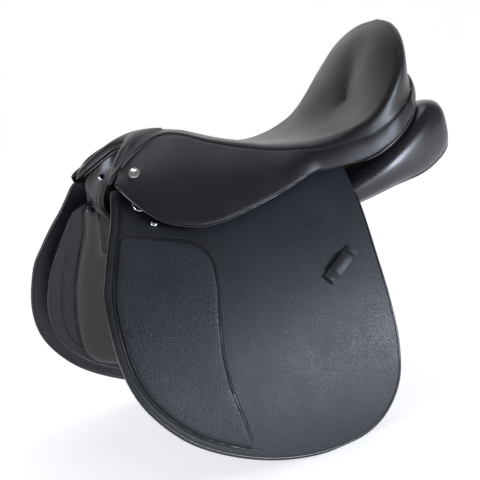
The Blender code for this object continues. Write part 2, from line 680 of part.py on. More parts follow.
def make_ring(word, side):
    """Front ring and the folded tab that holds its straight bar."""
    y, z = RING_HINGE
    normal = flap_normal(z)
    centre = on_flap(y, z, RING_LIFT)
    down = Vector(RING_HANG)
    down = (down - normal * down.dot(normal)).normalized()
    along_bar = normal.cross(down)
    half = RING_WIDTH / 2
    corner = along_bar * (half - RING_CORNER)
    path = [centre + corner, centre - corner]
    for k in range(9):
        turn = math.pi * k / 8
        path.append(centre - along_bar * half * math.cos(turn)
                    + down * (RING_NECK + (RING_DEPTH - RING_NECK) * math.sin(turn)))
    rings = tube_rings(path, RING_WIRE, RING_SIDES, True)
    loft("ring_" + word, rings, "steel", side, centre, closed=True)
    reach = RING_WIRE + TAB_CLEAR
    leaf = down * TAB_BACK * TAB_LENGTH
    tab = [centre - down * TAB_LENGTH - normal * reach, centre - leaf - normal * reach]
    for k in range(5):
        turn = math.pi * k / 4
        tab.append(centre + down * reach * math.sin(turn) - normal * reach * math.cos(turn))
    tab.append(centre - leaf + normal * reach)
    up = []
    for k in range(len(tab)):
        before = tab[max(k - 1, 0)]
        after = tab[min(k + 1, len(tab) - 1)]
        up.append(along_bar.cross(after - before).normalized())
    loft("ring_tab_" + word, sweep_rings(tab, TAB_WIDTH, TAB_LEATHER, up), "leather", side)


def make_stirrup_bar(word, side):
    """Hairpin bar on the tree, under the skirt, and its thumb catch."""
    path = []
    turn = BAR_FRONT + BAR_BEND
    near_turn = BAR_FRONT + BAR_BEND / 6
    for y, t in ((BAR_PLATE_REAR, 0), (turn, 0), (near_turn, 0.2), (BAR_FRONT, 0.5), (near_turn, 0.8),
                 (turn, 1), (BAR_REAR, 1)):
        path.append(on_flap(y, BAR_Z, BAR_PLATE_LIFT + (BAR_LIFT - BAR_PLATE_LIFT) * t))
    slope = flap_normal(BAR_Z).cross(Vector((-FLAP_TOE, 1, 0))).normalized()
    up = []
    for k in range(len(path)):
        before = path[max(k - 1, 0)]
        after = path[min(k + 1, len(path) - 1)]
        up.append(slope.cross(after - before).normalized())
    loft("stirrup_bar_" + word, sweep_rings(path, BAR_WIDTH, BAR_THICK, up), "steel", side)
    hinge = on_flap(CATCH_HINGE_Y, BAR_Z, BAR_PLATE_LIFT)
    tip = on_flap(CATCH_HINGE_Y + CATCH_LENGTH, BAR_Z, BAR_PLATE_LIFT)
    start = hinge.lerp(tip, -0.15)
    rings = sweep_rings([start, hinge, tip], BAR_WIDTH - 2 * GAP, CATCH_THICK, flap_normal(BAR_Z))
    loft("bar_catch_" + word, rings, "steel", side, hinge)


def make_under_flap(word, side):
    """Sweat flap with its blocks and padding, and the three girth straps that hang over it."""
    edge = flat_spline(SWEAT_EDGE) + list(SWEAT_TOP)
    leather_sheet("sweat_flap_" + word, edge, SWEAT_STEP, SWEAT_LIFT, SWEAT_LEATHER, "leather", side)
    pad = flat_spline(PAD_EDGE) + list(PAD_TOP)
    leather_sheet("sweat_pad_" + word, pad, LINING_STEP, PAD_LIFT, PAD_THICK, "leather", side)
    thick = BLOCK_LIFT - SWEAT_LIFT - GAP
    leather_sheet("knee_block_" + word, KNEE_BLOCK, PAD_STEP, BLOCK_LIFT, thick, "leather", side)
    leather_sheet("thigh_block_" + word, THIGH_BLOCK, PAD_STEP, BLOCK_LIFT, thick, "leather", side)
    half = STRAP_WIDTH / 2
    drop = STRAP_TOP_Z - STRAP_END_Z
    lift = SWEAT_LIFT + STRAP_THICK + STRAP_CLEAR
    for label, y in zip(STRAP_NAMES, STRAP_Y):
        back = y + STRAP_LEAN * drop
        point = half * STRAP_POINT
        strap = [(y - half, STRAP_TOP_Z), (back - half, STRAP_END_Z + point), (back, STRAP_END_Z),
                 (back + half, STRAP_END_Z + point), (y + half, STRAP_TOP_Z)]
        hinge = on_flap(y, STRAP_TOP_Z - STRAP_PIVOT_DROP, SWEAT_LIFT)
        leather_sheet("girth_strap_" + label + "_" + word, strap, STRAP_STEP, lift, STRAP_THICK, "leather",
                      side, hinge)


def make_panel(word, side):
    """Stuffed cushion that bears on the horse's back."""
    rings = []
    for y, x, z, half, deep, tilt in PANEL_ROWS:
        turn = math.radians(tilt)
        out = Vector((math.cos(turn), 0, -math.sin(turn)))
        up = Vector((math.sin(turn), 0, math.cos(turn)))
        ring = []
        for k in range(PANEL_SIDES):
            a = 2 * math.pi * k / PANEL_SIDES
            c = math.copysign(abs(math.cos(a)) ** PANEL_SQUARENESS, math.cos(a))
            s = math.copysign(abs(math.sin(a)) ** PANEL_SQUARENESS, math.sin(a))
            ring.append(Vector((x, y, z)) + out * half * c + up * deep * s)
        rings.append(ring)
    loft("panel_" + word, rings, "leather", side)


def mirrored(points):
    """Near half from the centre out, made into the whole path from off to near."""
    return [Vector((-p[0], p[1], p[2])) for p in reversed(points[1:])] + [Vector(p) for p in points]


def make_tree():
    """Wooden frame as one ring, with the steel head plate and its screws."""
    near = spline(TREE_RAIL, 2)
    path = near + [Vector((-p.x, p.y, p.z)) for p in reversed(near[1:-1])]
    rings = sweep_rings(path, TREE_WIDTH, TREE_THICK, (0, 0, 1), closed=True)
    loft("tree", rings, "tree_wood", closed=True)
    arm = [on_flap(GULLET_Y, z, GULLET_LIFT) for z in GULLET_ARM_Z]
    half = [Vector((x, GULLET_Y, z)) for x, z in GULLET_TOP] + arm
    path = spline(mirrored(half), 2)
    forward = Vector((0, 1, 0))
    up = []
    for k in range(len(path)):
        tangent = path[min(k + 1, len(path) - 1)] - path[max(k - 1, 0)]
        up.append(forward.cross(tangent).normalized())
    loft("gullet_plate", sweep_rings(path, GULLET_WIDTH, GULLET_STEEL, up), "steel")
    for word, side in SIDES:
        for label, x, z in SCREWS:
            rings = disc_rings((x, GULLET_Y, z), SCREW_FACE, SCREW_PROFILE, BUTTON_SIDES)
            loft("gullet_screw_" + label + "_" + word, rings, "steel", side)


def make_arch_face():
    """Covered face that closes the front of the head between the skirts."""
    inner = spline(mirrored(ARCH_INNER), 2)
    outer = spline(mirrored(ARCH_OUTER), 2)
    back = Vector((0, ARCH_DEPTH, 0))
    rings = [[a, b, b + back, a + back] for a, b in zip(inner, outer)]
    loft("arch_face", rings, "leather")
    for word, side in SIDES:
        rings = disc_rings(RIVET, RIVET_FACE, RIVET_PROFILE, BUTTON_SIDES)
        loft("arch_rivet_" + word, rings, "steel", side)


def make_cantle():
    """Band and piped welt round the back of the seat."""
    top = [seat_edge(k, SKIRT_DROP) for k in range(SKIRT_ROWS[1], len(SEAT_ROWS))]
    top[0] += Vector(BAND_START)
    high = spline(mirrored(top[::-1]), 2)
    low = spline(mirrored([Vector(p) for p in CANTLE_LOW][::-1]), 2)
    rows = [[a, a.lerp(b, 0.5) + Vector((0, BAND_DOME, 0)), b] for a, b in zip(high, low)]
    faces = [tuple(reversed(f)) for f in grid_faces(len(rows), 3)]
    verts = [p for row in rows for p in row]
    thicken(add_mesh("cantle_band", verts, faces, "leather"), BAND_LEATHER)
    path = spline(mirrored(list(WELT_PATH)[::-1]), 2)
    loft("cantle_welt", tube_rings(path, WELT_RADIUS, WELT_SIDES, False), "binding")


def make_buttons(word, side):
    """Plain stud low on the flap's head and plain round badge on the skirt."""
    rings = disc_rings(on_flap(*STUD, GAP), flap_normal(STUD[1]), STUD_PROFILE, BUTTON_SIDES)
    loft("flap_stud_" + word, rings, "steel", side)
    spot = on_flap(*BADGE, LOBE_LIFT + BADGE_LIFT)
    rings = disc_rings(spot, flap_normal(BADGE[1]), BADGE_PROFILE, BADGE_SIDES)
    loft("skirt_badge_" + word, rings, "steel", side)


def build():
    clear_scene()
    make_seat()
    make_tree()
    make_arch_face()
    make_cantle()
    for word, side in SIDES:
        make_skirt(word, side)
        make_flap(word, side)
        make_keeper(word, side)
        make_ring(word, side)
        make_stirrup_bar(word, side)
        make_under_flap(word, side)
        make_panel(word, side)
        make_buttons(word, side)


build()
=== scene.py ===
"""English jumping saddle: padded leather, piped seams, stitching, plated fittings and a plain studio.

Metres, +Z up, -Y towards the front arch, +X towards the near side. Pieces that come in pairs are worked
out for the near side and mirrored through X = 0.
"""

import math

import bmesh
import bpy
from bpy.props import FloatProperty, FloatVectorProperty, PointerProperty
from mathutils import Matrix, Vector
from mathutils.geometry import delaunay_2d_cdt


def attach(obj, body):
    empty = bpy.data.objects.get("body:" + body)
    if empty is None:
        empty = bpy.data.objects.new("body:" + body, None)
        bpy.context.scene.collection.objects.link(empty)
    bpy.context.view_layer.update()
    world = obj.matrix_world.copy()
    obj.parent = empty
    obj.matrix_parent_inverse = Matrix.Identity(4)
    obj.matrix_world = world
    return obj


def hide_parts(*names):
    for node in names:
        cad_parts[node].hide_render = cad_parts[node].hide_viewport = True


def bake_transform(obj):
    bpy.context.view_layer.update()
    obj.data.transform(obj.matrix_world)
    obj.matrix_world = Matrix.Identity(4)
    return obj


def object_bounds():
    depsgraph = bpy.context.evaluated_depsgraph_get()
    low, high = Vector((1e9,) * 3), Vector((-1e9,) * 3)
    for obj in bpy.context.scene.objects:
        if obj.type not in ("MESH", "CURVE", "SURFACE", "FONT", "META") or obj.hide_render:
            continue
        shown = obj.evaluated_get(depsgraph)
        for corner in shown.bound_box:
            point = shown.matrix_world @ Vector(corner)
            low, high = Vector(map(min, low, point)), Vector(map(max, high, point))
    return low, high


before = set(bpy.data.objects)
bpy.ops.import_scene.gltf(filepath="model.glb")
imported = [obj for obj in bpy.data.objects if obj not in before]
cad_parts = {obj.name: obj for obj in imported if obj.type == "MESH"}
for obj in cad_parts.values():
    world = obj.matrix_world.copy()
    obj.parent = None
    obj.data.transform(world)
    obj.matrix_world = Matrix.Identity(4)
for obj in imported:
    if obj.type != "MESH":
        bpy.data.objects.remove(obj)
CAD_BOX = [list(corner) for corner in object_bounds()]

bl_info = {
    "name": "English saddle",
    "version": (1, 0, 0),
    "blender": (4, 5, 0),
    "location": "3D View > Sidebar > Saddle",
    "description": "Builds a black leather jumping saddle on its packed frame",
    "category": "Object",
}

# The flap's surface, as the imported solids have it.
FLAP_X = 0.0913
FLAP_Z = 0.0564
FLAP_SPREAD = 0.765
FLAP_CURL = 1.16
FLAP_TOE = 0.076
FLAP_LEATHER = 0.004
SKIRT_LEATHER = 0.0035
SEAT_LEATHER = 0.0025
SEAT_FOAM = 0.009
GAP = 0.0005
STRAP_WIDTH = 0.025
STRAP_THICK = 0.004
STRAP_TOP_Z = 0.044
STRAP_END_Z = -0.235
STRAP_Y = (("front", -0.152), ("middle", -0.115), ("rear", -0.078))
STRAP_LEAN = 0.038
SWEAT_LIFT = -0.022
SWEAT_LEATHER = 0.003
BLOCK_LIFT = -0.0105
PAD_LIFT = SWEAT_LIFT - SWEAT_LEATHER - GAP
PAD_THICK = 0.009
LOBE_LIFT = 0.0115
SKIRT_DOME = 0.055

FLAP_EDGE = (
    (-0.3225, 0.006), (-0.338, -0.025), (-0.348, -0.085), (-0.340, -0.136), (-0.310, -0.184),
    (-0.269, -0.219), (-0.211, -0.250), (-0.150, -0.268), (-0.092, -0.271), (-0.048, -0.258),
    (-0.015, -0.225), (0.001, -0.180), (0.009, -0.129), (0.016, -0.070), (0.024, -0.020),
    (0.0275, 0.006),
)
FLAP_FRONT = ((-0.2745, 0.0875), (-0.281, 0.073), (-0.292, 0.053), (-0.307, 0.0315))
FLAP_TOP = (
    (0.030, 0.036), (0.000, 0.052), (-0.084, 0.064), (-0.088, 0.034), (-0.214, 0.034), (-0.225, 0.083),
)
KNEE_SEAM = (
    (-0.287, 0.0345), (-0.2683, 0.0290), (-0.2432, 0.0206), (-0.2225, 0.0130), (-0.2060, 0.0035),
    (-0.1975, -0.0095), (-0.1963, -0.0221), (-0.1993, -0.0354), (-0.2040, -0.0504), (-0.2127, -0.0711),
    (-0.2220, -0.0972), (-0.2296, -0.1239), (-0.2325, -0.1520), (-0.2314, -0.1763), (-0.2290, -0.2073),
    (-0.2284, -0.2320),
)
# Each row of the seat: seam point, rim point, y of the centre line it starts from.
SEAT_ROWS = (
    ((0.000, -0.2185, 0.1290), (0.000, -0.1930, 0.1415), -0.158),
    ((0.020, -0.2280, 0.1255), (0.014, -0.2000, 0.1400), -0.156),
    ((0.037, -0.2450, 0.1150), (0.028, -0.2110, 0.1350), -0.154),
    ((0.055, -0.2610, 0.1040), (0.042, -0.2240, 0.1260), -0.152),
    ((0.0735, -0.2710, 0.0940), (0.055, -0.2340, 0.1170), -0.150),
    ((0.079, -0.2570, 0.1055), (0.058, -0.2240, 0.1215), -0.147),
    ((0.071, -0.2370, 0.1155), (0.055, -0.2110, 0.1275), -0.144),
    ((0.062, -0.2150, 0.1245), (0.048, -0.1970, 0.1325), -0.140),
    ((0.056, -0.1960, 0.1305), (0.041, -0.1820, 0.1355), -0.136),
    ((0.055, -0.1770, 0.1310), (0.038, -0.1660, 0.1335), -0.130),
    ((0.059, -0.1570, 0.1240), (0.040, -0.1460, 0.1255), -0.120),
    ((0.070, -0.1310, 0.1090), (0.047, -0.1200, 0.1125), -0.104),
    ((0.082, -0.0960, 0.0930), (0.056, -0.0860, 0.0985), -0.080),
    ((0.091, -0.0580, 0.0790), (0.067, -0.0500, 0.0865), -0.050),
    ((0.103, -0.0230, 0.0715), (0.083, -0.0150, 0.0795), -0.020),
    ((0.112, 0.0020, 0.0670), (0.095, 0.0120, 0.0785), 0.004),
    ((0.119, 0.0280, 0.0665), (0.106, 0.0350, 0.0800), 0.024),
    ((0.124, 0.0530, 0.0660), (0.114, 0.0560, 0.0840), 0.042),
    ((0.127, 0.0760, 0.0690), (0.119, 0.0770, 0.0910), 0.056),
    ((0.126, 0.1060, 0.0810), (0.120, 0.1020, 0.1090), 0.068),
    ((0.112, 0.1400, 0.0980), (0.111, 0.1340, 0.1450), 0.078),
    ((0.084, 0.1640, 0.1140), (0.082, 0.1540, 0.1770), 0.085),
    ((0.047, 0.1800, 0.1250), (0.044, 0.1680, 0.1955), 0.089),
    ((0.000, 0.1860, 0.1300), (0.000, 0.1760, 0.2015), 0.092),
)
CORNER_ROW = 4
FOAM_ROW = 11  # the foam starts behind the waist
SEAT_EASING = 14  # passes
EASING_PULL = 0.8  # how far each pass moves a point towards its neighbours' mean
SEAT_SPLIT = 5  # fine rows to each row above
SEAT_STEPS = 12  # points from the centre to the rim, and again to the seam
SKIRT_ROWS = (5, 20)
SEAT_CENTRE = (
    (-0.185, 0.1415), (-0.158, 0.1345), (-0.134, 0.1245), (-0.105, 0.1100), (-0.080, 0.0985),
    (-0.050, 0.0885), (-0.020, 0.0800), (0.010, 0.0750), (0.040, 0.0735), (0.070, 0.0780),
    (0.095, 0.0890),
)
LOBE_EDGE = (
    (-0.2715, 0.0870), (-0.266, 0.0740), (-0.260, 0.0630), (-0.250, 0.0490), (-0.239, 0.0378),
    (-0.226, 0.0290), (-0.210, 0.0222), (-0.195, 0.0176), (-0.176, 0.0155), (-0.155, 0.0158),
    (-0.132, 0.0178), (-0.106, 0.0212), (-0.077, 0.0254), (-0.043, 0.0320), (-0.018, 0.0365),
)
BAND_EDGE = (
    (0.119, 0.0020, 0.0415), (0.1235, 0.0270, 0.0415), (0.127, 0.0530, 0.0425), (0.129, 0.0770, 0.0480),
    (0.127, 0.1060, 0.0590), (0.113, 0.1400, 0.0780),
)
# Panel cushions: y, centre x, centre z, half width, half depth, tilt in degrees.
PANEL_ROWS = (
    (-0.236, 0.074, 0.034, 0.030, 0.004, 47.0),
    (-0.228, 0.071, 0.032, 0.040, 0.009, 47.0),
    (-0.200, 0.068, 0.027, 0.045, 0.013, 46.0),
    (-0.140, 0.066, 0.020, 0.043, 0.015, 42.0),
    (-0.070, 0.065, 0.008, 0.039, 0.017, 37.0),
    (0.000, 0.066, 0.003, 0.036, 0.019, 30.0),
    (0.050, 0.068, 0.008, 0.040, 0.024, 20.0),
    (0.100, 0.069, 0.018, 0.043, 0.030, 12.0),
    (0.150, 0.065, 0.028, 0.040, 0.041, 6.0),
    (0.183, 0.059, 0.038, 0.036, 0.044, 2.0),
    (0.206, 0.054, 0.043, 0.029, 0.036, 0.0),
    (0.218, 0.051, 0.045, 0.015, 0.019, 0.0),
)
SWEAT_EDGE = (
    (-0.262, 0.072), (-0.281, 0.062), (-0.292, 0.042), (-0.306, 0.012), (-0.322, -0.030),
    (-0.330, -0.085), (-0.320, -0.135), (-0.288, -0.180), (-0.240, -0.212), (-0.180, -0.232),
    (-0.110, -0.238), (-0.055, -0.228), (-0.022, -0.195), (-0.008, -0.140), (0.000, -0.070),
    (0.004, -0.010), (0.004, 0.024),
)
SWEAT_TOP = ((-0.236, 0.046), (-0.243, 0.066))
SWEAT_SEAM = (
    (-0.2790, 0.0560), (-0.2880, 0.0270), (-0.3000, -0.0187), (-0.3100, -0.0653), (-0.3115, -0.1080),
    (-0.3020, -0.1450), (-0.2740, -0.1790),
)
PAD_EDGE = (
    (-0.262, 0.069), (-0.268, 0.060), (-0.2675, 0.044), (-0.270, 0.020), (-0.279, -0.012),
    (-0.288, -0.057), (-0.293, -0.106), (-0.292, -0.150), (-0.284, -0.176), (-0.262, -0.194),
    (-0.220, -0.208), (-0.150, -0.218), (-0.090, -0.217), (-0.048, -0.196), (-0.032, -0.150),
    (-0.022, -0.090), (-0.016, -0.032),
)
PAD_TOP = ((-0.225, -0.024), (-0.243, -0.010), (-0.2445, 0.030), (-0.2445, 0.062))
KNEE_BLOCK = (
    (-0.296, -0.012), (-0.313, -0.045), (-0.319, -0.085), (-0.311, -0.125), (-0.292, -0.152),
    (-0.272, -0.150), (-0.268, -0.115), (-0.276, -0.065), (-0.278, -0.020),
)
THIGH_BLOCK = (
    (-0.026, -0.045), (-0.012, -0.060), (-0.016, -0.110), (-0.030, -0.160), (-0.044, -0.168),
    (-0.042, -0.130), (-0.034, -0.080),
)
KEEPER = ((-0.0620, -0.0820), (-0.0135, -0.0580))
KEEPER_RISE = 0.0070
KEEPER_WIDTH = 0.016
BEAD_INSET = 0.0088  # second bead along the flap's front
BEAD_TOP_Z = 0.078
KNEE_INSET = 0.0112
BADGE = (-0.2450, 0.0905)
STUD = (-0.2440, 0.0400)
RING_HINGE = (-0.2455, 0.0690)
RING_WIDTH = 0.020
RING_DEPTH = 0.019
RING_WIRE = 0.0014
RING_LIFT = 0.0042
CANTLE_LOW = ((0.1115, 0.1415, 0.0790), (0.084, 0.1650, 0.0950), (0.047, 0.1810, 0.1060), (0, 0.1870, 0.1110))
WELT_PATH = (
    (0.1190, 0.054, 0.0370), (0.1240, 0.078, 0.0425), (0.1225, 0.106, 0.0535), (0.1090, 0.140, 0.0715),
    (0.0830, 0.165, 0.0875), (0.0470, 0.181, 0.0985), (0.0000, 0.187, 0.1035),
)
ARCH_INNER = ((0.000, -0.222, 0.101), (0.026, -0.232, 0.094), (0.046, -0.245, 0.078), (0.062, -0.252, 0.052))
ARCH_OUTER = ((0.000, -0.216, 0.124), (0.022, -0.226, 0.119), (0.040, -0.243, 0.108), (0.068, -0.261, 0.088))
ARCH_TAIL = ((0.068, -0.243, 0.028), (0.083, -0.262, 0.058))  # the covering runs on down to the lining
TOP_START = (0.108, 0.036, 0.0365)  # front end of the leather that closes the panel's top
TOP_REACH = 0.78  # its inner edge, as a part of the distance from the middle
# Camera: degrees round from the front, above and rolled; lens in mm; the point it looks at and how far off.
CAMERA_ANGLES = (68.787, 11.627, -13.45)
CAMERA_LENS = 93.6
CAMERA_TARGET = (0, -0.0930, -0.0388)
CAMERA_DISTANCE = 1.6845
FLOOR_TURN = 68.8  # the floor lies square to the camera, to a tenth of a degree
AIR_STRENGTH = 0.22
PAPER_GLOW = 0.62  # keeps the paper white under the small lights
SIDES = (("near", 1), ("off", -1))


# Colour and materials.
def linear(code):
    """An sRGB hex colour as linear red, green and blue."""
    parts = [int(code[k:k + 2], 16) / 255 for k in (1, 3, 5)]
    return tuple(c / 12.92 if c <= 0.04045 else ((c + 0.055) / 1.055) ** 2.4 for c in parts)


def add_node(tree, kind, settings=None, values=None, links=None):
    """One node with its settings, its socket values and the outputs that feed its sockets."""
    made = tree.nodes.new(kind)
    for key, value in (settings or {}).items():
        setattr(made, key, value)
    for socket, value in (values or {}).items():
        made.inputs[socket].default_value = value
    for socket, source in (links or {}).items():
        tree.links.new(source, made.inputs[socket])
    return made


def blank(name):
    """A material with only its output node, or the one of that name made before."""
    if name in bpy.data.materials:
        return bpy.data.materials[name], None
    material = bpy.data.materials.new(name)
    material.use_nodes = True
    material.node_tree.nodes.clear()
    return material, material.node_tree


def leather(name, dark, light, grain_mm, depth_mm, rough, crease=0.5, coat=0.0):
    """Tanned hide: a net of creases round small plump cells, over slow changes of tone and shine."""
    material, tree = blank(name)
    if tree is None:
        return material
    place = add_node(tree, "ShaderNodeTexCoord").outputs["Object"]
    wander = add_node(tree, "ShaderNodeTexNoise", values={"Scale": 350 / grain_mm, "Detail": 2.0},
                      links={"Vector": place})
    shifted = add_node(tree, "ShaderNodeVectorMath", {"operation": "MULTIPLY_ADD"},
                       {1: (0.0007 * grain_mm,) * 3},
                       {0: wander.outputs["Color"], 2: place})
    cells = add_node(tree, "ShaderNodeTexVoronoi", {"feature": "DISTANCE_TO_EDGE"},
                     {"Scale": 1000 / grain_mm}, {"Vector": shifted.outputs[0]})
    plump = add_node(tree, "ShaderNodeMapRange", {"interpolation_type": "SMOOTHSTEP"},
                     {"From Min": 0.0, "From Max": crease}, {"Value": cells.outputs["Distance"]})
    slow = add_node(tree, "ShaderNodeTexNoise", values={"Scale": 22.0, "Detail": 4.0, "Roughness": 0.6},
                    links={"Vector": place})
    height = add_node(tree, "ShaderNodeMath", {"operation": "MULTIPLY_ADD"}, {1: 0.8},
                      {0: slow.outputs["Fac"], 2: plump.outputs["Result"]})
    bump = add_node(tree, "ShaderNodeBump", values={"Strength": 0.75, "Distance": depth_mm / 1000},
                    links={"Height": height.outputs[0]})
    tone = add_node(tree, "ShaderNodeMix", {"data_type": "RGBA"},
                    {"A": (*linear(dark), 1), "B": (*linear(light), 1)}, {"Factor": slow.outputs["Fac"]})
    shine = add_node(tree, "ShaderNodeMapRange",
                     values={"From Min": 0.3, "From Max": 0.7,
                             "To Min": rough - 0.05, "To Max": rough + 0.06},
                     links={"Value": slow.outputs["Fac"]})
    shader = add_node(tree, "ShaderNodeBsdfPrincipled", values={"IOR": 1.5, "Coat Weight": coat,
                      "Coat Roughness": 0.25},
                      links={"Base Color": tone.outputs["Result"], "Roughness": shine.outputs["Result"],
                             "Normal": bump.outputs["Normal"]})
    add_node(tree, "ShaderNodeOutputMaterial", links={"Surface": shader.outputs[0]})
    return material


def seat_hide():
    # Soft drum-dyed calf, lightly waxed: a fine grain that only dulls the light, with a broad even sheen.
    return leather("calf_leather_drum_dyed", "#101012", "#18181b", 1.4, 0.14, 0.36)


def flap_hide():
    # Printed cowhide, finished matt: a small even pebble gives the flap its dry, slightly grey look.
    return leather("cow_leather_printed", "#14171c", "#1c2026", 1.6, 0.20, 0.44)


def grip_hide():
    # Shrunken grip leather: coarse soft pebbles, drawn about a third larger so that they show.
    return leather("cow_leather_shrunken_grain", "#15191e", "#1f242a", 2.3, 0.36, 0.46)


def lining_hide():
    # Glazed calf on the cushions: the smoothest leather here, with clear soft highlights.
    return leather("calf_leather_glazed", "#0f1013", "#17181c", 1.3, 0.07, 0.26, coat=0.25)


def welt_hide():
    # Skived calf rolled round a cord and burnished: smooth and shinier than the panels it edges.
    return leather("calf_leather_burnished", "#0e0e10", "#141416", 1.2, 0.05, 0.30, coat=0.15)


def metal(name, colour, rough, scratch_mm):
    """Plated or polished metal, with faint wear that changes its shine and no change of hue."""
    material, tree = blank(name)
    if tree is None:
        return material
    place = add_node(tree, "ShaderNodeTexCoord").outputs["Object"]
    wear = add_node(tree, "ShaderNodeTexNoise", values={"Scale": 1000 / scratch_mm, "Detail": 3.0},
                    links={"Vector": place})
    shine = add_node(tree, "ShaderNodeMapRange", values={"To Min": rough * 0.6, "To Max": rough * 1.5},
                     links={"Value": wear.outputs["Fac"]})
    shader = add_node(tree, "ShaderNodeBsdfPrincipled",
                      values={"Base Color": (*linear(colour), 1), "Metallic": 1.0},
                      links={"Roughness": shine.outputs["Result"]})
    add_node(tree, "ShaderNodeOutputMaterial", links={"Surface": shader.outputs[0]})
    return material


def nickel():
    # Nickel-plated brass, polished: bright, a little warm, with soft handling marks.
    return metal("brass_nickel_plated", "#d8d8d6", 0.16, 4.0)


def steel():
    # Zinc-plated pressed steel: greyer and duller than the fittings that show.
    return metal("steel_zinc_plated", "#a9abad", 0.38, 2.5)


def fibrous(name, dark, light, scale, rough, stretch):
    """Wood, webbing, thread or foam: a stretched noise for its fibres or cells."""
    material, tree = blank(name)
    if tree is None:
        return material
    place = add_node(tree, "ShaderNodeTexCoord").outputs["Object"]
    laid = add_node(tree, "ShaderNodeMapping", values={"Scale": stretch}, links={"Vector": place})
    fibre = add_node(tree, "ShaderNodeTexNoise", values={"Scale": scale, "Detail": 5.0, "Roughness": 0.65},
                     links={"Vector": laid.outputs[0]})
    tone = add_node(tree, "ShaderNodeMix", {"data_type": "RGBA"},
                    {"A": (*linear(dark), 1), "B": (*linear(light), 1)}, {"Factor": fibre.outputs["Fac"]})
    bump = add_node(tree, "ShaderNodeBump", values={"Strength": 0.5, "Distance": 0.0003},
                    links={"Height": fibre.outputs["Fac"]})
    shader = add_node(tree, "ShaderNodeBsdfPrincipled", values={"Roughness": rough},
                      links={"Base Color": tone.outputs["Result"], "Normal": bump.outputs["Normal"]})
    add_node(tree, "ShaderNodeOutputMaterial", links={"Surface": shader.outputs[0]})
    return material


def plywood():
    # Laminated beech, varnished: long pale fibres that run from front to back.
    return fibrous("beech_plywood_varnished", "#a07a4c", "#c9a574", 60.0, 0.45, (6.0, 1.0, 6.0))


def canvas():
    # Woven polyester webbing: a close weave, drawn as a fine irregular rib.
    return fibrous("polyester_webbing_woven", "#b9b3a2", "#d9d4c6", 500.0, 0.9, (1.0, 3.0, 1.0))


def latex():
    # Moulded polyurethane foam: pale, dry and full of small open cells.
    return fibrous("polyurethane_foam_moulded", "#c2bda6", "#dedac6", 700.0, 0.95, (1.0, 1.0, 1.0))


def thread():
    # Bonded nylon thread: dark grey with the dull shine of its bonding.
    return fibrous("nylon_thread_bonded", "#1d1e20", "#34363a", 900.0, 0.5, (1.0, 1.0, 1.0))


# Surfaces and curves.
def flap_normal(z):
    """Outward normal of the flap at height z."""
    return Vector((1, FLAP_TOE, FLAP_SPREAD - 2 * FLAP_CURL * (FLAP_Z - z))).normalized()


def on_flap(y, z, lift=0.0):
    """Point over the flap's outer surface, lifted along its normal."""
    drop = FLAP_Z - z
    half = FLAP_X + FLAP_SPREAD * drop - FLAP_CURL * drop**2 - FLAP_TOE * y
    return Vector((half, y, z)) + flap_normal(z) * lift


def spline(points, steps):
    """Catmull-Rom curve through the points, with the given steps in each stretch."""
    pts = [Vector(p) for p in points]
    ends = [2 * pts[0] - pts[1]] + pts + [2 * pts[-1] - pts[-2]]
    curve = []
    for a, b, c, d in zip(ends, ends[1:], ends[2:], ends[3:]):
        for k in range(steps):
            t = k / steps
            curve.append(
                0.5 * (2 * b + (c - a) * t + (2 * a - 5 * b + 4 * c - d) * t**2
                       + (3 * b - 3 * c + d - a) * t**3)
            )
    return curve + [pts[-1]]


def flat_spline(points, steps):
    """The same for (y, z) points, which are made three long for the sum."""
    return [(p.x, p.y) for p in spline([(*p, 0) for p in points], steps)]


def resample(points, spacing, closed=False):
    """The same line with evenly spaced points about that far apart."""
    pts = [Vector((*p, 0)) if len(p) == 2 else Vector(p) for p in points]
    if closed:
        pts.append(pts[0])
    lengths = [0.0]
    for a, b in zip(pts, pts[1:]):
        lengths.append(lengths[-1] + (b - a).length)
    count = max(2, round(lengths[-1] / spacing))
    even = []
    n = 1
    for k in range(count + (0 if closed else 1)):
        want = lengths[-1] * k / count
        while lengths[n] < want - 1e-9:
            n += 1
        t = (want - lengths[n - 1]) / max(lengths[n] - lengths[n - 1], 1e-9)
        even.append(pts[n - 1].lerp(pts[n], t))
    return [(p.x, p.y) for p in even] if len(points[0]) == 2 else even


def along(points, key):
    """Value at the given first coordinate, by straight stretches."""
    for (low, start), (high, end) in zip(points, points[1:]):
        if key <= high:
            return start + (end - start) * (key - low) / (high - low)
    return points[-1][1]


def hermite(start, end, out, into, steps):
    """Points after the start of a cubic with the given end tangents."""
    curve = []
    for k in range(1, steps + 1):
        t = k / steps
        a = 2 * t**3 - 3 * t**2 + 1
        curve.append(start * a + out * (t**3 - 2 * t**2 + t) + end * (1 - a) + into * (t**3 - t**2))
    return curve


def seat_row(seam, rim, centre_y, steps):
    """Profile of the seat from its centre line, up over the rim and down to the seam."""
    centre = Vector((0, centre_y, along(SEAT_CENTRE, centre_y)))
    rise = (along(SEAT_CENTRE, centre_y + 0.004) - along(SEAT_CENTRE, centre_y - 0.004)) / 0.008
    inner = rim - centre
    outer = seam - rim
    across = Vector((inner.x, inner.y, 0)).normalized()
    inner_slope = inner.z / inner.xy.length
    outer_slope = outer.z / max(outer.xy.length, 0.006)
    rim_slope = 0.0
    if inner_slope < 0:
        rim_slope = 2 * inner_slope * outer_slope / (inner_slope + outer_slope)
    over = (across + Vector((0, 0, rim_slope))).normalized()
    start = across + Vector((0, 0, rise * across.y))
    down = (across * 0.25 + Vector((0, 0, -1))).normalized()
    row = [centre] + hermite(centre, rim, start * inner.length, over * inner.length, steps)
    return row + hermite(rim, seam, over * outer.length * 1.1, down * outer.length, steps)


def mirrored(points):
    """Near half from the centre out, made into the whole path from off to near."""
    return [Vector((-p[0], p[1], p[2])) for p in reversed(points[1:])] + [Vector(p) for p in points]


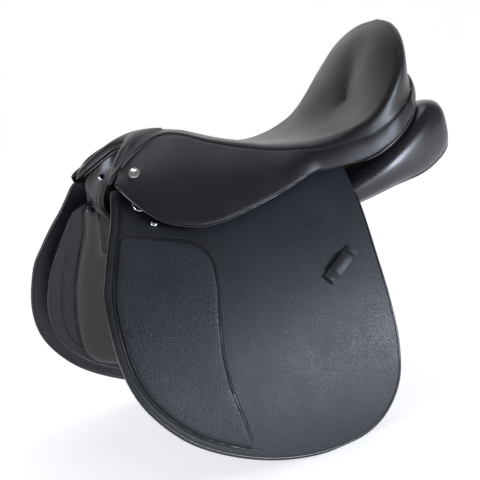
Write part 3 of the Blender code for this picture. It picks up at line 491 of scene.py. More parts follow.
# Meshes are pairs of lists, points and faces, until they become a piece.
def joined(parts):
    """Several meshes as one pair of lists."""
    verts, faces = [], []
    for points, loops in parts:
        base = len(verts)
        verts.extend(points)
        faces.extend(tuple(i + base for i in loop) for loop in loops)
    return verts, faces


def tidied(verts, faces, merge=0.0, outwards=True):
    """The mesh with doubles merged and its faces turned out."""
    bm = bmesh.new()
    new = [bm.verts.new(v) for v in verts]
    for face in faces:
        bm.faces.new([new[i] for i in face])
    if merge:
        bmesh.ops.remove_doubles(bm, verts=bm.verts[:], dist=merge)
    if outwards:
        bmesh.ops.recalc_face_normals(bm, faces=bm.faces[:])
    bm.verts.index_update()
    lists = [v.co.copy() for v in bm.verts], [tuple(v.index for v in f.verts) for f in bm.faces]
    bm.free()
    return lists


def loft(rings, closed=False):
    """A body through rings of equal length; its open ends are capped by a fan about their middle."""
    verts = [p for ring in rings for p in ring]
    count = len(rings[0])
    faces = []
    pairs = list(zip(range(len(rings)), range(1, len(rings))))
    if closed:
        pairs.append((len(rings) - 1, 0))
    for a, b in pairs:
        for k in range(count):
            n = (k + 1) % count
            faces.append((a * count + k, a * count + n, b * count + n, b * count + k))
    if not closed:
        for base in (0, (len(rings) - 1) * count):
            verts.append(sum((verts[base + k] for k in range(count)), Vector()) / count)
            faces.extend((base + k, base + (k + 1) % count, len(verts) - 1) for k in range(count))
    return tidied(verts, faces)


def grid(rows, flip=False):
    """An open sheet through rows of equal length."""
    count = len(rows[0])
    faces = []
    for r in range(len(rows) - 1):
        for k in range(count - 1):
            a = r * count + k
            quad = (a, a + count, a + count + 1, a + 1)
            faces.append(tuple(reversed(quad)) if flip else quad)
    return [p for row in rows for p in row], faces


def tangents(pts, closed=False):
    """Way a path runs at each of its points."""
    ways = []
    for k, point in enumerate(pts):
        before = pts[k - 1] if closed or k else point
        after = pts[(k + 1) % len(pts)] if closed or k + 1 < len(pts) else point
        ways.append((after - before).normalized())
    return ways


def tube(path, radius, sides=10, closed=False, flat=1.0, up=None, taper=0.0):
    """A round or flattened cord along a path; up is the direction of its flat side's normal."""
    pts = [Vector(p) for p in path]
    rings = []
    last = None
    for k, (point, tangent) in enumerate(zip(pts, tangents(pts, closed))):
        guide = up[k] if isinstance(up, list) else up if up is not None else last
        if guide is None:
            guide = tangent.orthogonal()
        over = (guide - tangent * guide.dot(tangent)).normalized()
        across = tangent.cross(over)
        last = over
        size = radius
        if taper and not closed:
            reach = min(k, len(pts) - 1 - k) / taper
            size = radius * math.sqrt(max(0.04, 1 - max(0, 1 - reach) ** 2))
        turns = [2 * math.pi * n / sides for n in range(sides)]
        rings.append([point + across * math.cos(a) * size + over * math.sin(a) * size * flat for a in turns])
    return loft(rings, closed)


def strip(path, width, thick, up):
    """A band with rounded long edges along a path; up is its face normal at each point."""
    pts = [Vector(p) for p in path]
    rings = []
    half, deep = width / 2, thick / 2
    round_off = min(deep, 0.0008)
    profile = ((half, deep - round_off), (half - round_off, deep), (round_off - half, deep),
               (-half, deep - round_off), (-half, round_off - deep), (round_off - half, -deep),
               (half - round_off, -deep), (half, round_off - deep))
    for point, tangent, face in zip(pts, tangents(pts), up):
        over = (face - tangent * face.dot(tangent)).normalized()
        across = tangent.cross(over)
        rings.append([point + across * a + over * b for a, b in profile])
    return loft(rings)


def turned(centre, normal, profile, sides, squash=1.0, upright=None):
    """A turned button: profile is (radius, height) from the base up."""
    normal = Vector(normal).normalized()
    across = normal.orthogonal().normalized() if upright is None else normal.cross(upright).normalized()
    other = normal.cross(across)
    turns = [2 * math.pi * n / sides for n in range(sides)]
    rings = [
        [Vector(centre) + normal * height
         + across * math.cos(a) * radius + other * math.sin(a) * radius * squash for a in turns]
        for radius, height in profile
    ]
    return loft(rings)


def edge_distance(point, outline):
    """How far a (y, z) point is from a closed outline."""
    best = 1.0
    y, z = point
    for (ay, az), (by, bz) in zip(outline, outline[1:] + outline[:1]):
        dy, dz = by - ay, bz - az
        t = ((y - ay) * dy + (z - az) * dz) / max(dy * dy + dz * dz, 1e-12)
        t = min(1, max(0, t))
        best = min(best, math.hypot(y - ay - t * dy, z - az - t * dz))
    return best


def inside(point, outline):
    """Whether a (y, z) point lies within a closed outline."""
    y, z = point
    odd = False
    for (ay, az), (by, bz) in zip(outline, outline[1:] + outline[:1]):
        if (az > z) != (bz > z) and y < (by - ay) * (z - az) / (bz - az) + ay:
            odd = not odd
    return odd


def filled(outline, insets, step):
    """A fine flat mesh inside a closed outline: its points, how deep each lies inside, its triangles."""
    area = sum(a[0] * b[1] - b[0] * a[1] for a, b in zip(outline, outline[1:] + outline[:1]))
    turn = 1 if area > 0 else -1
    points = list(outline)
    depths = [0.0] * len(outline)
    count = len(outline)
    for depth in insets:
        for k in range(count):
            (ay, az), (by, bz) = outline[k - 1], outline[(k + 1) % count]
            dy, dz = by - ay, bz - az
            long = math.hypot(dy, dz)
            spot = (outline[k][0] - dz / long * depth * turn, outline[k][1] + dy / long * depth * turn)
            if inside(spot, outline) and edge_distance(spot, outline) > depth * 0.93:
                points.append(spot)
                depths.append(depth)
    last = insets[-1]
    low = [min(p[i] for p in outline) for i in (0, 1)]
    high = [max(p[i] for p in outline) for i in (0, 1)]
    for i in range(int((high[0] - low[0]) / step) + 1):
        for j in range(int((high[1] - low[1]) / step) + 1):
            spot = (low[0] + (i + 0.5 * (j % 2)) * step, low[1] + j * step)
            if inside(spot, outline):
                depth = edge_distance(spot, outline)
                if depth > last + step * 0.55:
                    points.append(spot)
                    depths.append(depth)
    rim = [(k, (k + 1) % count) for k in range(count)]
    flat, _, faces, origins, _, _ = delaunay_2d_cdt([Vector(p) for p in points], rim, [], 1, 1e-7)
    deep = [depths[origin[0]] if origin else 0.0 for origin in origins]
    loops = []
    for face in faces:
        a, b, c = (flat[i] for i in face[:3])
        loops.append(tuple(face) if (b - a).cross(c - a) > 0 else tuple(reversed(face)))
    return [(p.x, p.y) for p in flat], deep, loops


def inset_line(line, depth):
    """A (y, z) line moved in by depth, to the left of the way it runs."""
    moved = []
    for a, b, c in zip(line, line[1:], line[2:]):
        dy, dz = c[0] - a[0], c[1] - a[1]
        long = math.hypot(dy, dz)
        moved.append((b[0] - dz / long * depth, b[1] + dy / long * depth))
    return moved


def leather_piece(outline, insets, step, top, under):
    """A closed piece over the flap: top and under give the lift of each face from a point's depth."""
    flat, deep, faces = filled(outline, insets, step)
    over = [on_flap(y, z, top(d)) for (y, z), d in zip(flat, deep)]
    below = [on_flap(y, z, under(d)) for (y, z), d in zip(flat, deep)]
    count = len(flat)
    loops = list(faces) + [tuple(i + count for i in reversed(f)) for f in faces]
    edges = {}
    for face in faces:
        for a, b in zip(face, face[1:] + face[:1]):
            edges[(a, b)] = True
    for a, b in edges:
        if (b, a) not in edges:
            loops.append((b, a, a + count, b + count))
    return over + below, loops


def crown(height, reach, base=0.0):
    """Lift of a stuffed face: it rises as a quarter round from the seam and is full beyond reach."""
    def lift(depth):
        rest = 1 - min(depth / reach, 1)
        return base + height * math.sqrt(1 - rest * rest)
    return lift


def level(lift, edge=0.0):
    """Lift of a plain cut face, eased off by edge where it meets the rim."""
    return lambda depth: lift - edge * max(0, 1 - depth / 0.0012) ** 2


def stitches(path, up, pitch, length, thick):
    """A row of thread stitches that stand a little proud of the leather."""
    even = resample(path, pitch)
    parts = []
    for k in range(len(even) - 1):
        run = even[k + 1] - even[k]
        middle = (even[k] + even[k + 1]) / 2
        way = run.normalized()
        normal = up[min(int(k * len(up) / len(even)), len(up) - 1)] if isinstance(up, list) else up
        line = []
        for t, rise in ((-0.5, -0.4), (-0.3, 0.35), (0.3, 0.35), (0.5, -0.4)):
            line.append(middle + way * length * t + normal * thick * rise)
        parts.append(tube(line, thick, 6, up=normal))
    return joined(parts)


# Pieces.
def make(name, lists, material, side=1, angle=45):
    """One object from mesh lists; side -1 mirrors it through X = 0."""
    verts, faces = lists
    mesh = bpy.data.meshes.new(name)
    points = [(p[0] * side, p[1], p[2]) for p in verts]
    mesh.from_pydata(points, [], [tuple(reversed(f)) for f in faces] if side < 0 else faces)
    mesh.validate()
    mesh.shade_smooth()
    mesh.set_sharp_from_angle(angle=math.radians(angle))
    mesh.materials.append(material)
    obj = bpy.data.objects.new(name, mesh)
    bpy.context.collection.objects.link(obj)
    return obj


def thickened(obj, thickness, rounding=0.0008, even=True):
    """Give an open sheet its thickness and rounded edges, and keep the result as the mesh."""
    solid = obj.modifiers.new("thickness", "SOLIDIFY")
    solid.thickness = thickness
    solid.offset = -1
    solid.use_even_offset = even
    if rounding:
        bevel = obj.modifiers.new("edges", "BEVEL")
        bevel.width = rounding
        bevel.segments = 2
        bevel.limit_method = "ANGLE"
        bevel.angle_limit = math.radians(50)
    return applied(obj)


def applied(obj):
    """Replace the object's mesh by the one its modifiers make."""
    graph = bpy.context.evaluated_depsgraph_get()
    mesh = bpy.data.meshes.new_from_object(obj.evaluated_get(graph))
    obj.modifiers.clear()
    old = obj.data
    obj.data = mesh
    bpy.data.meshes.remove(old)
    mesh.name = obj.name
    mesh.shade_smooth()
    mesh.set_sharp_from_angle(angle=math.radians(45))
    return obj


def bend_flap(obj):
    """Bakes the piece's transform into its mesh; nothing bends it at the flap's crease."""
    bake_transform(obj)


def bend_skirt(obj):
    """Bakes the piece's transform into its mesh; nothing bends it at the skirt's crease."""
    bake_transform(obj)


def dress(node, material):
    """A CAD node that keeps its shape gets its real finish."""
    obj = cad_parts[node]
    if obj.material_slots:
        obj.material_slots[0].link = "OBJECT"
        obj.material_slots[0].material = material
    else:
        obj.data.materials.append(material)


def settings():
    return bpy.context.scene.saddle_settings


class SaddleSettings(bpy.types.PropertyGroup):
    """Sizes and colours that a user would change."""

    stitch_pitch: FloatProperty(name="Stitch pitch", description="Distance from one stitch to the next",
                                default=0.0034, min=0.0015, max=0.01, unit="LENGTH")
    stitch_length: FloatProperty(name="Stitch length", description="Length of thread that shows",
                                 default=0.0026, min=0.001, max=0.008, unit="LENGTH")
    stitch_thick: FloatProperty(name="Thread radius", description="Half the thread's thickness",
                                default=0.0004, min=0.0001, max=0.002, unit="LENGTH")
    piping: FloatProperty(name="Piping radius", description="Half the thickness of the seam cords",
                          default=0.0014, min=0.0005, max=0.004, unit="LENGTH")
    binding: FloatProperty(name="Binding radius", description="Half the width of the flap's bound edge",
                           default=0.0026, min=0.001, max=0.006, unit="LENGTH")
    floor: FloatVectorProperty(name="Floor colour", description="Colour of the studio floor",
                               subtype="COLOR", default=linear("#f4f4f4"), min=0.0, max=1.0)
    key_power: FloatProperty(name="Key light", description="Power of the window light behind the near side",
                             default=30.0, min=0.0, unit="POWER")
    fill_power: FloatProperty(name="Fill light", description="Power that the overhead and front lights share",
                              default=9.0, min=0.0, unit="POWER")


def row_of_stitches(path, up):
    own = settings()
    return stitches(path, up, own.stitch_pitch, own.stitch_length, own.stitch_thick)


def seat_rows(split, steps):
    """Fine rows of the seat, and the seam points they end on."""
    seams = spline([row[0] for row in SEAT_ROWS], split)
    rims = spline([row[1] for row in SEAT_ROWS], split)
    starts = spline([(row[2], 0, 0) for row in SEAT_ROWS], split)
    rows = [seat_row(seam, rim, start.x, steps) for seam, rim, start in zip(seams, rims, starts)]
    for row in (rows[0], rows[-1]):
        for point in row:
            point.x = 0.0
    return rows


def relaxed(rows, passes, held):
    """Rows eased as leather pulled over foam; the last held points of each row stay near the seam."""
    for _ in range(passes):
        other = [[Vector((-p.x, p.y, p.z)) for p in rows[k]] for k in (1, -2)]
        wide = [other[0]] + rows + [other[1]]
        eased = [list(row) for row in rows]
        for i, row in enumerate(rows):
            for k in range(len(row) - held):
                inner = row[k - 1] if k else Vector((-row[1].x, row[1].y, row[1].z))
                mean = (wide[i][k] + wide[i + 2][k] + inner + row[k + 1]) / 4
                eased[i][k] = row[k].lerp(mean, EASING_PULL)
        rows = eased
    return rows


def seat_lists(rows):
    near = grid(rows, flip=True)
    off = ([Vector((-p.x, p.y, p.z)) for p in near[0]], [tuple(reversed(f)) for f in near[1]])
    verts, faces = joined([near, off])
    return tidied(verts, faces, merge=6e-5, outwards=False)


def sunk(lists, depth):
    """The surface moved in along its own normals."""
    mesh = bpy.data.meshes.new("sunk")
    mesh.from_pydata([tuple(v) for v in lists[0]], [], lists[1])
    moved = [v.co - v.normal * depth for v in mesh.vertices]
    bpy.data.meshes.remove(mesh)
    return moved, lists[1]


class SADDLE_OT_seat(bpy.types.Operator):
    """Seat: soft leather stretched over foam, with its piped seam and the pommel's double edge"""

    bl_idname = "saddle.seat"
    bl_label = "Seat"

    def execute(self, context):
        own = settings()
        rows = relaxed(seat_rows(SEAT_SPLIT, SEAT_STEPS), SEAT_EASING, SEAT_STEPS)
        cover = make("seat_leather", seat_lists(rows), seat_hide())
        thickened(cover, SEAT_LEATHER, rounding=0, even=False)
        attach(cover, "saddle")
        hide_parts("seat_cover")
        inner = seat_lists([row[:9] for row in rows[FOAM_ROW * SEAT_SPLIT:]])
        pad = make("seat_padding", sunk(inner, SEAT_LEATHER + 3 * GAP), latex())
        thickened(pad, SEAT_FOAM, rounding=0, even=False)
        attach(pad, "saddle")
        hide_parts("seat_foam")
        seams = [row[-1] for row in seat_rows(SEAT_SPLIT, 2)]
        first, last = (row * SEAT_SPLIT for row in SKIRT_ROWS)
        seam = [p + Vector((0.0006, 0, -0.0006)) for p in seams[first:last + 1]]
        for word, side in SIDES:
            cord = make("seat_piping_" + word, tube(seam, own.piping * 0.85, 10, taper=12), welt_hide(), side)
            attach(cord, "saddle")
        front = mirrored(seams[:CORNER_ROW * SEAT_SPLIT + 1])
        lines = [tube([p + Vector((0, -0.0005, -0.001)) for p in front], 0.0019, 10, taper=3),
                 tube([p + Vector((0, 0.0024, -0.0048)) for p in front[3:-3]], 0.0016, 10, taper=3)]
        edge = make("pommel_piping", joined(lines), welt_hide())
        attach(edge, "saddle")
        return {"FINISHED"}


def skirt_rows(spacing, steps):
    """Rows from the seam down to the skirt's lower edge, front corner first."""
    first, last = SKIRT_ROWS
    top = spline([Vector(row[0]) - Vector((0, 0, 0.0022)) for row in SEAT_ROWS[first:last + 1]], 6)
    low = spline([on_flap(y, z, LOBE_LIFT) for y, z in LOBE_EDGE] + [Vector(p) for p in BAND_EDGE], 6)
    count = len(resample(low, spacing)) - 1
    length = [sum((b - a).length for a, b in zip(line, line[1:])) for line in (top, low)]
    top = resample(top, length[0] / count)
    low = resample(low, length[1] / count)
    rows = []
    for a, b in zip(top, low):
        bulge = SKIRT_DOME * (b - a).length
        rows.append([
            a.lerp(b, k / steps) + Vector((0.8, 0, 0.6)) * bulge * math.sin(math.pi * k / steps)
            for k in range(steps + 1)
        ])
    return rows


class SADDLE_OT_skirts(bpy.types.Operator):
    """Skirts: domed leather under the seat seam over the stirrup bar, with a beaded edge"""

    bl_idname = "saddle.skirts"
    bl_label = "Skirts"

    def execute(self, context):
        own = settings()
        rows = skirt_rows(0.0045, 16)
        edge = [rows[0][k] for k in range(2, 16)] + [row[-1] for row in rows]
        edge = resample([p + Vector((0.0006, 0, -0.0004)) for p in edge], 0.0035)
        lift = Vector((0.8, 0, 0.55)).normalized()
        inset = [row[-2].lerp(row[-1], 0.45) + lift * 0.0004 for row in rows[1:-1]]
        for word, side in SIDES:
            skirt = make("skirt_leather_" + word, grid(rows), seat_hide(), side)
            thickened(skirt, SKIRT_LEATHER, 0.0009)
            bend_skirt(skirt)
            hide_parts("skirt_top_" + word, "skirt_" + word)
            bead = make("skirt_bead_" + word, tube(edge, own.piping, 8, taper=3), welt_hide(), side)
            bend_skirt(bead)
            seam = make("skirt_stitching_" + word, row_of_stitches(inset, lift), thread(), side)
            bend_skirt(seam)
            profile = ((0.0082, 0.0), (0.0086, 0.0006), (0.0084, 0.0013), (0.0076, 0.0016), (0.0068, 0.0012),
                       (0.0055, 0.0015), (0.0030, 0.0020), (0.0008, 0.0022))
            spot = on_flap(*BADGE, LOBE_LIFT + 0.0055)
            badge = make("skirt_oval_badge_" + word,
                         turned(spot, flap_normal(BADGE[1]), profile, 40, 0.78, Vector((0, -0.5, 1))),
                         nickel(), side)
            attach(badge, "saddle")
            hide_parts("skirt_badge_" + word)
        return {"FINISHED"}


class SADDLE_OT_flaps(bpy.types.Operator):
    """Flaps: thick leather with bound edges, a padded grip-leather knee pad and the leather keeper"""

    bl_idname = "saddle.flaps"
    bl_label = "Flaps"

    def execute(self, context):
        own = settings()
        long_edge = flat_spline(FLAP_FRONT + FLAP_EDGE, 6)
        outline = resample(long_edge + list(FLAP_TOP), 0.0045, closed=True)
        body = leather_piece(outline, (0.0012, 0.004), 0.010, level(0.0, 0.0009), level(-FLAP_LEATHER))
        rim = resample(long_edge, 0.004)
        bound = [on_flap(y, z, -FLAP_LEATHER / 2) for y, z in rim]
        bound_up = [flap_normal(z) for y, z in rim]
        front = [p for p in rim if p[0] < -0.215]
        inner = [p for p in inset_line(front, BEAD_INSET) if p[1] < BEAD_TOP_Z]
        seam = flat_spline(KNEE_SEAM, 6)
        pad_front = [p for p in inset_line(front, KNEE_INSET)
                     if p[1] < KNEE_SEAM[0][1] - 0.001 and p[0] < KNEE_SEAM[-1][0] - 0.003]
        pad_outline = resample(pad_front + seam[::-1], 0.004, closed=True)
        pad = leather_piece(pad_outline, (0.0006, 0.0015, 0.003, 0.005), 0.009,
                            crown(0.0022, 0.0050, GAP + 0.0002), level(GAP / 2))
        seam_line = resample(seam[:-2], 0.004)
        cord = [on_flap(y, z, 0.0012) for y, z in seam_line]
        row = [on_flap(y, z, 0.0003) for y, z in inset_line(seam_line, 0.0036)]
        for word, side in SIDES:
            flap = make("flap_leather_" + word, body, flap_hide(), side)
            bend_flap(flap)
            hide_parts("flap_head_" + word, "flap_" + word)
            edge = make("flap_binding_" + word, tube(bound, own.binding, 10, up=bound_up, flat=0.95, taper=3),
                        welt_hide(), side)
            bend_flap(edge)
            bead = make("flap_front_bead_" + word,
                        tube([on_flap(y, z, 0.0004) for y, z in inner], own.piping, 8,
                             up=[flap_normal(z) for y, z in inner], taper=3), welt_hide(), side)
            bend_flap(bead)
            knee = make("knee_pad_leather_" + word, pad, grip_hide(), side)
            bend_flap(knee)
            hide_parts("knee_pad_" + word)
            pipe = make("knee_pad_piping_" + word, tube(cord, 0.0013, 8, taper=3), welt_hide(), side)
            bend_flap(pipe)
            sewn = row_of_stitches(row, flap_normal(-0.08))
            thread_row = make("knee_pad_stitching_" + word, sewn, thread(), side)
            bend_flap(thread_row)
            self.keeper(word, side)
            profile = ((0.0042, 0.0), (0.0046, 0.0008), (0.0044, 0.0018), (0.0034, 0.0027), (0.0018, 0.0032),
                       (0.0005, 0.0033))
            stud = make("flap_head_stud_" + word,
                        turned(on_flap(*STUD, GAP), flap_normal(STUD[1]), profile, 28), nickel(), side)
            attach(stud, "saddle")
            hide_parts("flap_stud_" + word)
        return {"FINISHED"}

    def keeper(self, word, side):
        """Loop that the end of the stirrup leather passes under, sewn down at both ends."""
        start, end = (Vector(p) for p in KEEPER)
        rest = GAP + 0.0015
        stations = ((0, rest), (0.05, rest), (0.13, rest + 0.0003), (0.20, KEEPER_RISE * 0.75),
                    (0.27, KEEPER_RISE), (0.5, KEEPER_RISE + 0.0006), (0.73, KEEPER_RISE),
                    (0.80, KEEPER_RISE * 0.75), (0.87, rest + 0.0003), (0.95, rest), (1, rest))
        path, up = [], []
        for t, lift in stations:
            y, z = start.lerp(end, t)
            path.append(on_flap(y, z, lift))
            up.append(flap_normal(z))
        path = spline(path, 3)
        up = spline(up, 3)
        loop = make("keeper_leather_" + word, strip(path, KEEPER_WIDTH, 0.0028, up), flap_hide(), side)
        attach(loop, "flap_" + word)
        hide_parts("keeper_" + word)
        way = (path[-1] - path[0]).normalized()
        across = way.cross(flap_normal(-0.067)).normalized() * (KEEPER_WIDTH / 2 - 0.002)
        rows = []
        for base, sign in ((path[0], 1), (path[-1], -1)):
            first = base + way * 0.0018 * sign + flap_normal(-0.067) * 0.0017
            second = base + way * 0.0058 * sign + flap_normal(-0.067) * 0.0017
            for a, b in ((first - across, first + across), (second - across, second + across),
                         (first + across, second + across), (first - across, second - across)):
                rows.append(stitches([a, b], flap_normal(-0.067), 0.0026, 0.0019, 0.0004))
        sewing = make("keeper_stitching_" + word, joined(rows), thread(), side)
        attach(sewing, "flap_" + word)


class SADDLE_OT_panels(bpy.types.Operator):
    """Panels: wool-stuffed leather cushions with a gusset seam, that bear on the back"""

    bl_idname = "saddle.panels"
    bl_label = "Panels"

    def execute(self, context):
        rows = spline([Vector(r[:3]) for r in PANEL_ROWS], 5)
        sizes = spline([Vector(r[3:]) for r in PANEL_ROWS], 5)
        rings = []
        seam, welt = [], []
        for spot, size in zip(rows, sizes):
            turn = math.radians(size.z)
            out = Vector((math.cos(turn), 0, -math.sin(turn)))
            up = Vector((math.sin(turn), 0, math.cos(turn)))
            middle = Vector((spot.y, spot.x, spot.z))
            ring = []
            for k in range(44):
                a = 2 * math.pi * k / 44
                c = math.copysign(abs(math.cos(a)) ** 0.75, math.cos(a))
                s = math.copysign(abs(math.sin(a)) ** 0.75, math.sin(a))
                ring.append(middle + out * size.x * c + up * size.y * s)
            rings.append(ring)
            seam.append(ring[38])
            welt.append(ring[2])
        lists = loft(rings)
        for word, side in SIDES:
            panel = make("panel_leather_" + word, lists, lining_hide(), side, angle=80)
            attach(panel, "saddle")
            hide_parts("panel_" + word)
            cords = [tube(resample(seam[4:-3], 0.004), 0.0011, 8, taper=3)]
            line = make("panel_gusset_piping_" + word, joined(cords), welt_hide(), side)
            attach(line, "saddle")
        return {"FINISHED"}


class SADDLE_OT_sweat_flaps(bpy.types.Operator):
    """Sweat flaps: the inner flaps with their padded linings and the knee and thigh blocks"""

    bl_idname = "saddle.sweat_flaps"
    bl_label = "Sweat flaps"

    def execute(self, context):
        outline = resample(flat_spline(SWEAT_EDGE, 6) + list(SWEAT_TOP), 0.005, closed=True)
        body = leather_piece(outline, (0.0012, 0.004), 0.011, level(SWEAT_LIFT, 0.0008),
                             level(SWEAT_LIFT - SWEAT_LEATHER))
        rim = resample(flat_spline(SWEAT_EDGE, 6), 0.004)
        bound = [on_flap(y, z, SWEAT_LIFT - SWEAT_LEATHER / 2) for y, z in rim]
        bound_up = [flap_normal(z) for y, z in rim]
        pad_outline = resample(flat_spline(PAD_EDGE, 6) + list(PAD_TOP), 0.005, closed=True)
        pad = leather_piece(pad_outline, (0.001, 0.0025, 0.005, 0.009, 0.014), 0.012, level(PAD_LIFT),
                            lambda d: PAD_LIFT - crown(PAD_THICK, 0.020, 0.0006)(d))
        pad_rim = [on_flap(y, z, PAD_LIFT - 0.0012) for y, z in pad_outline]
        seam = resample(flat_spline(SWEAT_SEAM, 6), 0.004)
        ridge = [on_flap(y, z, SWEAT_LIFT - SWEAT_LEATHER) for y, z in seam]
        thick = BLOCK_LIFT - SWEAT_LIFT - GAP
        blocks = []
        for label, edge in (("knee_block", KNEE_BLOCK), ("thigh_block", THIGH_BLOCK)):
            ring = flat_spline(edge + edge[:1], 6)[:-1]
            lists = leather_piece(resample(ring, 0.004, closed=True), (0.0008, 0.002, 0.004, 0.007), 0.009,
                                  crown(thick - 0.0005, 0.009, BLOCK_LIFT - thick + 0.0005),
                                  level(BLOCK_LIFT - thick))
            blocks.append((label, lists))
        for word, side in SIDES:
            sweat = make("sweat_flap_leather_" + word, body, flap_hide(), side)
            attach(sweat, "saddle")
            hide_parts("sweat_flap_" + word)
            edge = make("sweat_flap_binding_" + word, tube(bound, 0.0021, 8, up=bound_up, taper=3),
                        welt_hide(), side)
            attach(edge, "saddle")
            lining = make("sweat_flap_lining_" + word, pad, lining_hide(), side)
            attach(lining, "saddle")
            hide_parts("sweat_pad_" + word)
            lines = [tube(pad_rim, 0.0017, 8, closed=True), tube(ridge, 0.0013, 8, taper=4)]
            pipe = make("lining_piping_" + word, joined(lines), welt_hide(), side)
            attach(pipe, "saddle")
            for label, lists in blocks:
                block = make(label + "_leather_" + word, lists, seat_hide(), side)
                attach(block, "saddle")
                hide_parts(label + "_" + word)
        return {"FINISHED"}


class SADDLE_OT_girth_straps(bpy.types.Operator):
    """Girth straps: three pointed leather billets a side, punched for the buckles"""

    bl_idname = "saddle.girth_straps"
    bl_label = "Girth straps"

    def execute(self, context):
        half = STRAP_WIDTH / 2
        lift = SWEAT_LIFT + STRAP_THICK + 0.001
        for label, y in STRAP_Y:
            drop = STRAP_TOP_Z - STRAP_END_Z
            back = y + STRAP_LEAN * drop
            tip = half * 0.7
            outline = [(y - half, STRAP_TOP_Z), (back - half, STRAP_END_Z + tip),
                       (back - half * 0.45, STRAP_END_Z + tip * 0.25), (back, STRAP_END_Z),
                       (back + half * 0.45, STRAP_END_Z + tip * 0.25), (back + half, STRAP_END_Z + tip),
                       (y + half, STRAP_TOP_Z)]
            lists = leather_piece(resample(outline, 0.0045, closed=True), (0.001, 0.003), 0.006,
                                  level(lift, 0.0008), level(lift - STRAP_THICK, -0.0008))
            holes, rows = [], []
            for k in range(9):
                z = STRAP_END_Z + 0.035 + 0.020 * k
                y_hole = back - STRAP_LEAN * (z - STRAP_END_Z)
                rim = []
                for n in range(16):
                    a = 2 * math.pi * n / 16
                    rim.append(on_flap(y_hole + 0.0024 * math.cos(a), z + 0.0024 * math.sin(a), lift))
                holes.append(tube(rim, 0.0005, 6, closed=True))
            for sign in (-1, 1):
                line = [on_flap(back - STRAP_LEAN * (z - STRAP_END_Z) + sign * (half - 0.003), z, lift)
                        for z in (STRAP_END_Z + 0.014, -0.15, -0.05, STRAP_TOP_Z - 0.004)]
                rows.append(row_of_stitches(spline(line, 12), flap_normal(-0.1)))
            for word, side in SIDES:
                body = "strap_" + label + "_" + word
                strap = make("girth_strap_leather_" + label + "_" + word, lists, flap_hide(), side)
                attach(strap, body)
                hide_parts("girth_strap_" + label + "_" + word)
                eyes = make("girth_strap_holes_" + label + "_" + word, joined(holes), welt_hide(), side)
                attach(eyes, body)
                sewing = make("girth_strap_stitching_" + label + "_" + word, joined(rows), thread(), side)
                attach(sewing, body)
        return {"FINISHED"}


class SADDLE_OT_front_arch(bpy.types.Operator):
    """Front arch: the covered face of the head, with its rivets and a row of stitches"""

    bl_idname = "saddle.front_arch"
    bl_label = "Front arch"

    def execute(self, context):
        inner = spline(mirrored(ARCH_INNER + ARCH_TAIL[:1]), 6)
        outer = spline(mirrored(ARCH_OUTER + ARCH_TAIL[1:]), 6)
        rings = []
        for a, b in zip(inner, outer):
            ring = []
            for k in range(9):
                t = k / 8
                swell = Vector((0, -0.0022, 0)) * math.sin(math.pi * t)
                ring.append(a.lerp(b, t) + swell)
            ring.extend((b + Vector((0, 0.005, 0)), a + Vector((0, 0.005, 0))))
            rings.append(ring)
        face = make("arch_face_leather", loft(rings), lining_hide())
        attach(face, "saddle")
        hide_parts("arch_face")
        line = [p + Vector((0, -0.0004, 0)) for p in inner]
        pipe = make("arch_piping", tube(line, 0.0017, 8, taper=3), welt_hide())
        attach(pipe, "saddle")
        seam = [a.lerp(b, 0.20) + Vector((0, -0.0016, 0)) for a, b in zip(inner, outer)]
        sewing = make("arch_stitching", row_of_stitches(seam, Vector((0, -1, 0))), thread())
        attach(sewing, "saddle")
        for word, side in SIDES:
            profile = ((0.0032, 0.0), (0.0040, 0.0008), (0.0040, 0.0018), (0.0032, 0.0028), (0.0016, 0.0034),
                       (0.0004, 0.0035))
            rivet = make("arch_face_rivet_" + word,
                         turned((0.042, -0.2475, 0.090), (0, -0.94, -0.34), profile, 28), nickel(), side)
            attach(rivet, "saddle")
            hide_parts("arch_rivet_" + word)
        return {"FINISHED"}


class SADDLE_OT_cantle(bpy.types.Operator):
    """Cantle: the band under the back of the seat and the doubled welt over the panels"""

    bl_idname = "saddle.cantle"
    bl_label = "Cantle"

    def execute(self, context):
        top = [Vector(SEAT_ROWS[k][0]) - Vector((0, 0, 0.0022)) for k in range(SKIRT_ROWS[1], len(SEAT_ROWS))]
        top[0] += Vector((-0.0012, 0.0012, 0))
        high = spline(mirrored(top[::-1]), 8)
        low = spline(mirrored([Vector(p) for p in CANTLE_LOW][::-1]), 8)
        rows = []
        for a, b in zip(high, low):
            rows.append([a.lerp(b, k / 6) + Vector((0, 0.0016, 0)) * math.sin(math.pi * k / 6)
                         for k in range(7)])
        band = make("cantle_band_leather", grid(rows, flip=True), seat_hide())
        thickened(band, 0.003, 0.0007)
        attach(band, "saddle")
        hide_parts("cantle_band")
        path = resample(spline(mirrored(list(WELT_PATH)[::-1]), 6), 0.004)
        upper = [p * 0.985 + Vector((0, 0, 0.0034)) for p in path]
        welt = make("cantle_double_welt", joined([tube(path, 0.0024, 10, taper=3),
                                                  tube(upper, 0.0020, 10, taper=3)]), welt_hide())
        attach(welt, "saddle")
        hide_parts("cantle_welt")
        edge = spline([Vector(TOP_START)] + [Vector(p) for p in WELT_PATH], 6)
        whole = mirrored(edge[::-1])
        cover = [[p, Vector((p.x * TOP_REACH, p.y - 0.012 * abs(p.y), p.z - 0.004))] for p in whole]
        roof = make("panel_top_leather", grid(cover), lining_hide())
        thickened(roof, 0.002)
        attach(roof, "saddle")
        return {"FINISHED"}


